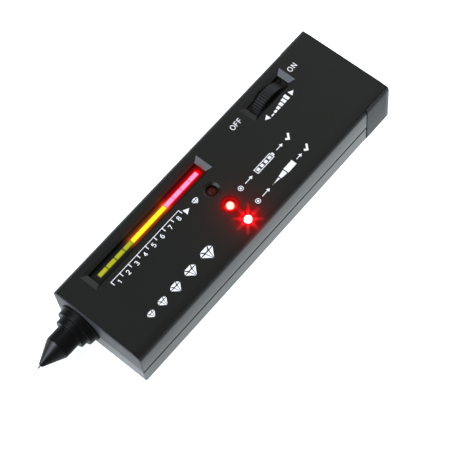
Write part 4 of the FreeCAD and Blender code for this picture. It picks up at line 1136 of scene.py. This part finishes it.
# %% Stone prints
def stone(middle, size, gap=0.055):
    """Facets of a stone seen from the side, on a unit wide grid, each drawn in by gap to its centre."""
    facets = [[(-0.5, 0.1), (-0.3, 0.36), (-0.14, 0.1)],
              [(-0.3, 0.36), (0.3, 0.36), (0.14, 0.1), (-0.14, 0.1)],
              [(0.3, 0.36), (0.5, 0.1), (0.14, 0.1)], [(-0.5, 0.1), (-0.14, 0.1), (0.0, -0.46)],
              [(-0.14, 0.1), (0.14, 0.1), (0.0, -0.46)], [(0.14, 0.1), (0.5, 0.1), (0.0, -0.46)]]
    made = []
    for facet in facets:
        corner = np.array(facet)
        inward = corner.mean(axis=0) - corner
        inward /= np.linalg.norm(inward, axis=1, keepdims=True)
        made.append(plate((corner + inward * gap) * size + middle))
    return made


STONE_ROW = [(17.2, 4.2), (24.0, 5.0), (31.9, 5.8), (40.9, 6.6), (51.0, 7.4)]
stone_marks = stone((65.6, 4.7), 3.6, 0.06)
stone_marks += [facet for x, size in STONE_ROW for facet in stone((x, -14.6), size)]
new_piece("printed_stones", *joined(stone_marks), ink_finish, "case")

# %% [markdown]
# ## Studio
# The tester lies on a pale table that is plain and flat round it and curves up into walls
# far away, so that no horizon shows.

# %% Table
TABLE_FLAT, TABLE_BEND, TABLE_DROP = 1.4, 0.8, 0.00005


def table_surface(columns=96):
    """Profile turned about Z: flat to TABLE_FLAT metres, then a quarter circle of TABLE_BEND up to the
    wall, the whole TABLE_DROP below the case's foot."""
    bend = np.linspace(0, math.pi / 2, 24)
    radius = np.concatenate([[0.0, 0.3], TABLE_FLAT + TABLE_BEND * np.sin(bend)])
    level = np.concatenate([[0.0, 0.0], TABLE_BEND * (1 - np.cos(bend))]) - TABLE_DROP
    angle = np.linspace(0, math.tau, columns, endpoint=False)
    points = np.stack(np.broadcast_arrays(radius[:, None] * np.cos(angle), radius[:, None] * np.sin(angle),
                                          level[:, None]), axis=-1)
    return points.reshape(-1, 3), grid_quads(len(radius), columns)


table_points, table_faces = table_surface()
table_mesh = bpy.data.meshes.new("pale_table")
table_mesh.from_pydata(table_points.tolist(), [], table_faces.tolist())
table_mesh.validate()
table = bpy.data.objects.new("pale_table", table_mesh)
bpy.context.scene.collection.objects.link(table)
print("table radius:", round(float(np.abs(table_points[:, 0]).max()), 2), "m")

# %% [markdown]
# ## The lit field of the table
# A field a little larger than the picture glows under the tester. It is brighter towards
# the cover and close round the case, whose sides mirror it. A honeycomb under its glass
# would send the light up, so the glow fades towards flat angles.

# %% Light field
FIELD = [(96.7, 154.5), (222.1, -8.5), (53.3, -134.2), (-58.3, 3.1)]


def field_share(tree, where, corners, soft):
    """1 inside the corners, falling to 0 over soft millimetres outside: past an edge by
    d = (p - corner) . normal, the share is 1 - d / soft."""
    past = 0.0
    for start, end in zip(corners, corners[1:] + corners[:1]):
        way = np.subtract(end, start)
        normal = np.array([-way[1], way[0], 0.0]) / np.linalg.norm(way)
        reach = add(tree, "VectorMath", {0: where, 1: tuple(normal)}, operation="DOT_PRODUCT")
        beyond = calc(tree, "SUBTRACT", reach.outputs["Value"], float(np.dot(normal[:2], start)))
        past = calc(tree, "MAXIMUM", past, beyond)
    return calc(tree, "SUBTRACT", 1.0, calc(tree, "DIVIDE", past, soft), clamp=True)


def case_glow(tree, x, y, strength, reach):
    """strength * exp(-d / reach), d being the distance from the case's outline."""
    before, behind = calc(tree, "MULTIPLY", x, -1.0), calc(tree, "SUBTRACT", x, CASE_END)
    ahead = calc(tree, "MAXIMUM", calc(tree, "MAXIMUM", before, behind), 0.0)
    aside = calc(tree, "MAXIMUM", calc(tree, "SUBTRACT", calc(tree, "ABSOLUTE", y), CASE_HALF), 0.0)
    return faded(tree, apart(tree, ahead, aside), 0.0, strength, reach)


def field_light(tree):
    """Brighter towards the cover, near the case and before the nose, times the honeycomb's fall."""
    where, x, y, _ = place_in_mm(tree)
    light = calc(tree, "ADD", ramp(tree, x, 0.0, 160.0, 0.66, 1.08), case_glow(tree, x, y, 0.55, 5.0))
    before_nose = calc(tree, "MAXIMUM", calc(tree, "MULTIPLY", x, -1.0), 0.0)
    light = calc(tree, "MULTIPLY_ADD", before_nose, 0.014, light)
    facing = calc(tree, "SUBTRACT", 1.0, add(tree, "LayerWeight", {"Blend": 0.5}).outputs["Facing"])
    light = calc(tree, "MULTIPLY", light, ramp(tree, facing, 0.45, 0.8))
    return calc(tree, "MULTIPLY", light, field_share(tree, where, FIELD, 40.0))


table_finish, table_tree, table_shader = blank_finish("table_white")
table_tree.links.new(field_light(table_tree), table_shader.inputs["Emission Strength"])
weave = calc(table_tree, "MULTIPLY_ADD", speckle(table_tree, place_in_mm(table_tree)[0], 3.0), 0.1, 0.75)
table_tree.links.new(weave, table_shader.inputs["Roughness"])
table_shader.inputs["Base Color"].default_value = rgba((0.86, 0.86, 0.86))
table_shader.inputs["Emission Color"].default_value = rgba((0.93, 1.0, 1.03))
table_mesh.materials.append(table_finish)
print("field corners in mm:", FIELD)

# %% [markdown]
# ## Soft boxes
# One cool soft box stands on the wheel's side, where the rear slopes of the window and of
# the wheel's slot mirror it. The room itself is dim on the nose's side and brightens towards
# the cover's.

# %% Lights
def soft_light(name, place, aim, size, power, colour=(1.0, 1.0, 1.0)):
    """A square area light at place, turned to face aim."""
    lamp = bpy.data.lights.new(name, "AREA")
    lamp.size = size
    lamp.energy = power
    lamp.color = colour
    holder = bpy.data.objects.new(name, lamp)
    way = np.subtract(aim, place)
    holder.location = place
    holder.rotation_euler = (math.acos(-way[2] / np.linalg.norm(way)), 0.0, math.atan2(-way[0], way[1]))
    bpy.context.scene.collection.objects.link(holder)


soft_light("slope_box", (-0.54, 0.41, 0.99), (0, 0, 0), 0.8, 10.5, (0.9, 0.95, 1.12))
world = bpy.data.worlds.new("studio_air")
world.use_nodes = True
air = world.node_tree
sight = add(air, "SeparateXYZ", {0: add(air, "TexCoord").outputs["Generated"]})
room = ramp(air, sight.outputs[0], 0.15, 0.9, 0.24, 1.24)
air.links.new(room, air.nodes["Background"].inputs["Strength"])
air.nodes["Background"].inputs["Color"].default_value = rgba((1.0, 1.0, 1.0))
bpy.context.scene.world = world
bpy.context.scene.view_settings.view_transform = "Standard"

# %% [markdown]
# ## Camera
# The camera's place and lens were worked out from the edges of the case in the picture,
# and then the lens and the shift were adjusted by less than a pixel against that picture.

# %% Camera
camera = bpy.data.cameras.new("photo_camera")
camera.sensor_width = 36.0
camera.lens = 120.46
camera.shift_x, camera.shift_y = -0.00055, 0.0006
camera.clip_start = 0.02
eye = bpy.data.objects.new("photo_camera", camera)
eye.location = (-0.180679, -0.216782, 0.564187)
eye.rotation_euler = tuple(math.radians(angle) for angle in (26.537, 4.141, -49.535))
bpy.context.scene.collection.objects.link(eye)
bpy.context.scene.camera = eye
print("lens:", round(camera.lens, 2), "mm")

# %% [markdown]
# ## Glare of the ready lamp
# A lamp far brighter than its surroundings draws a small star in the camera's lens. Only the
# ready lamp passes the threshold, and its star is tinted red.

# %% Glare
def glare(tree, kind, source, **inputs):
    """One glare node behind a source, with its named inputs set."""
    made = tree.nodes.new("CompositorNodeGlare")
    made.glare_type = kind
    made.quality = "HIGH"
    for key, value in inputs.items():
        made.inputs[key.replace("_", " ")].default_value = value
    tree.links.new(source, made.inputs["Image"])
    return made.outputs["Image"]


scene = bpy.context.scene
scene.use_nodes = True
glare_tree = scene.node_tree
glare_tree.nodes.clear()
layers = glare_tree.nodes.new("CompositorNodeRLayers")
RED_GLARE = (1.0, 0.03, 0.05, 1.0)
star = glare(glare_tree, "STREAKS", layers.outputs["Image"], Threshold=8.0, Strength=0.18, Tint=RED_GLARE,
             Streaks=8, Streaks_Angle=0.0, Iterations=2, Fade=0.88, Color_Modulation=0.0)
out = glare_tree.nodes.new("CompositorNodeComposite")
glare_tree.links.new(star, out.inputs["Image"])
print("glare nodes:", len(glare_tree.nodes))
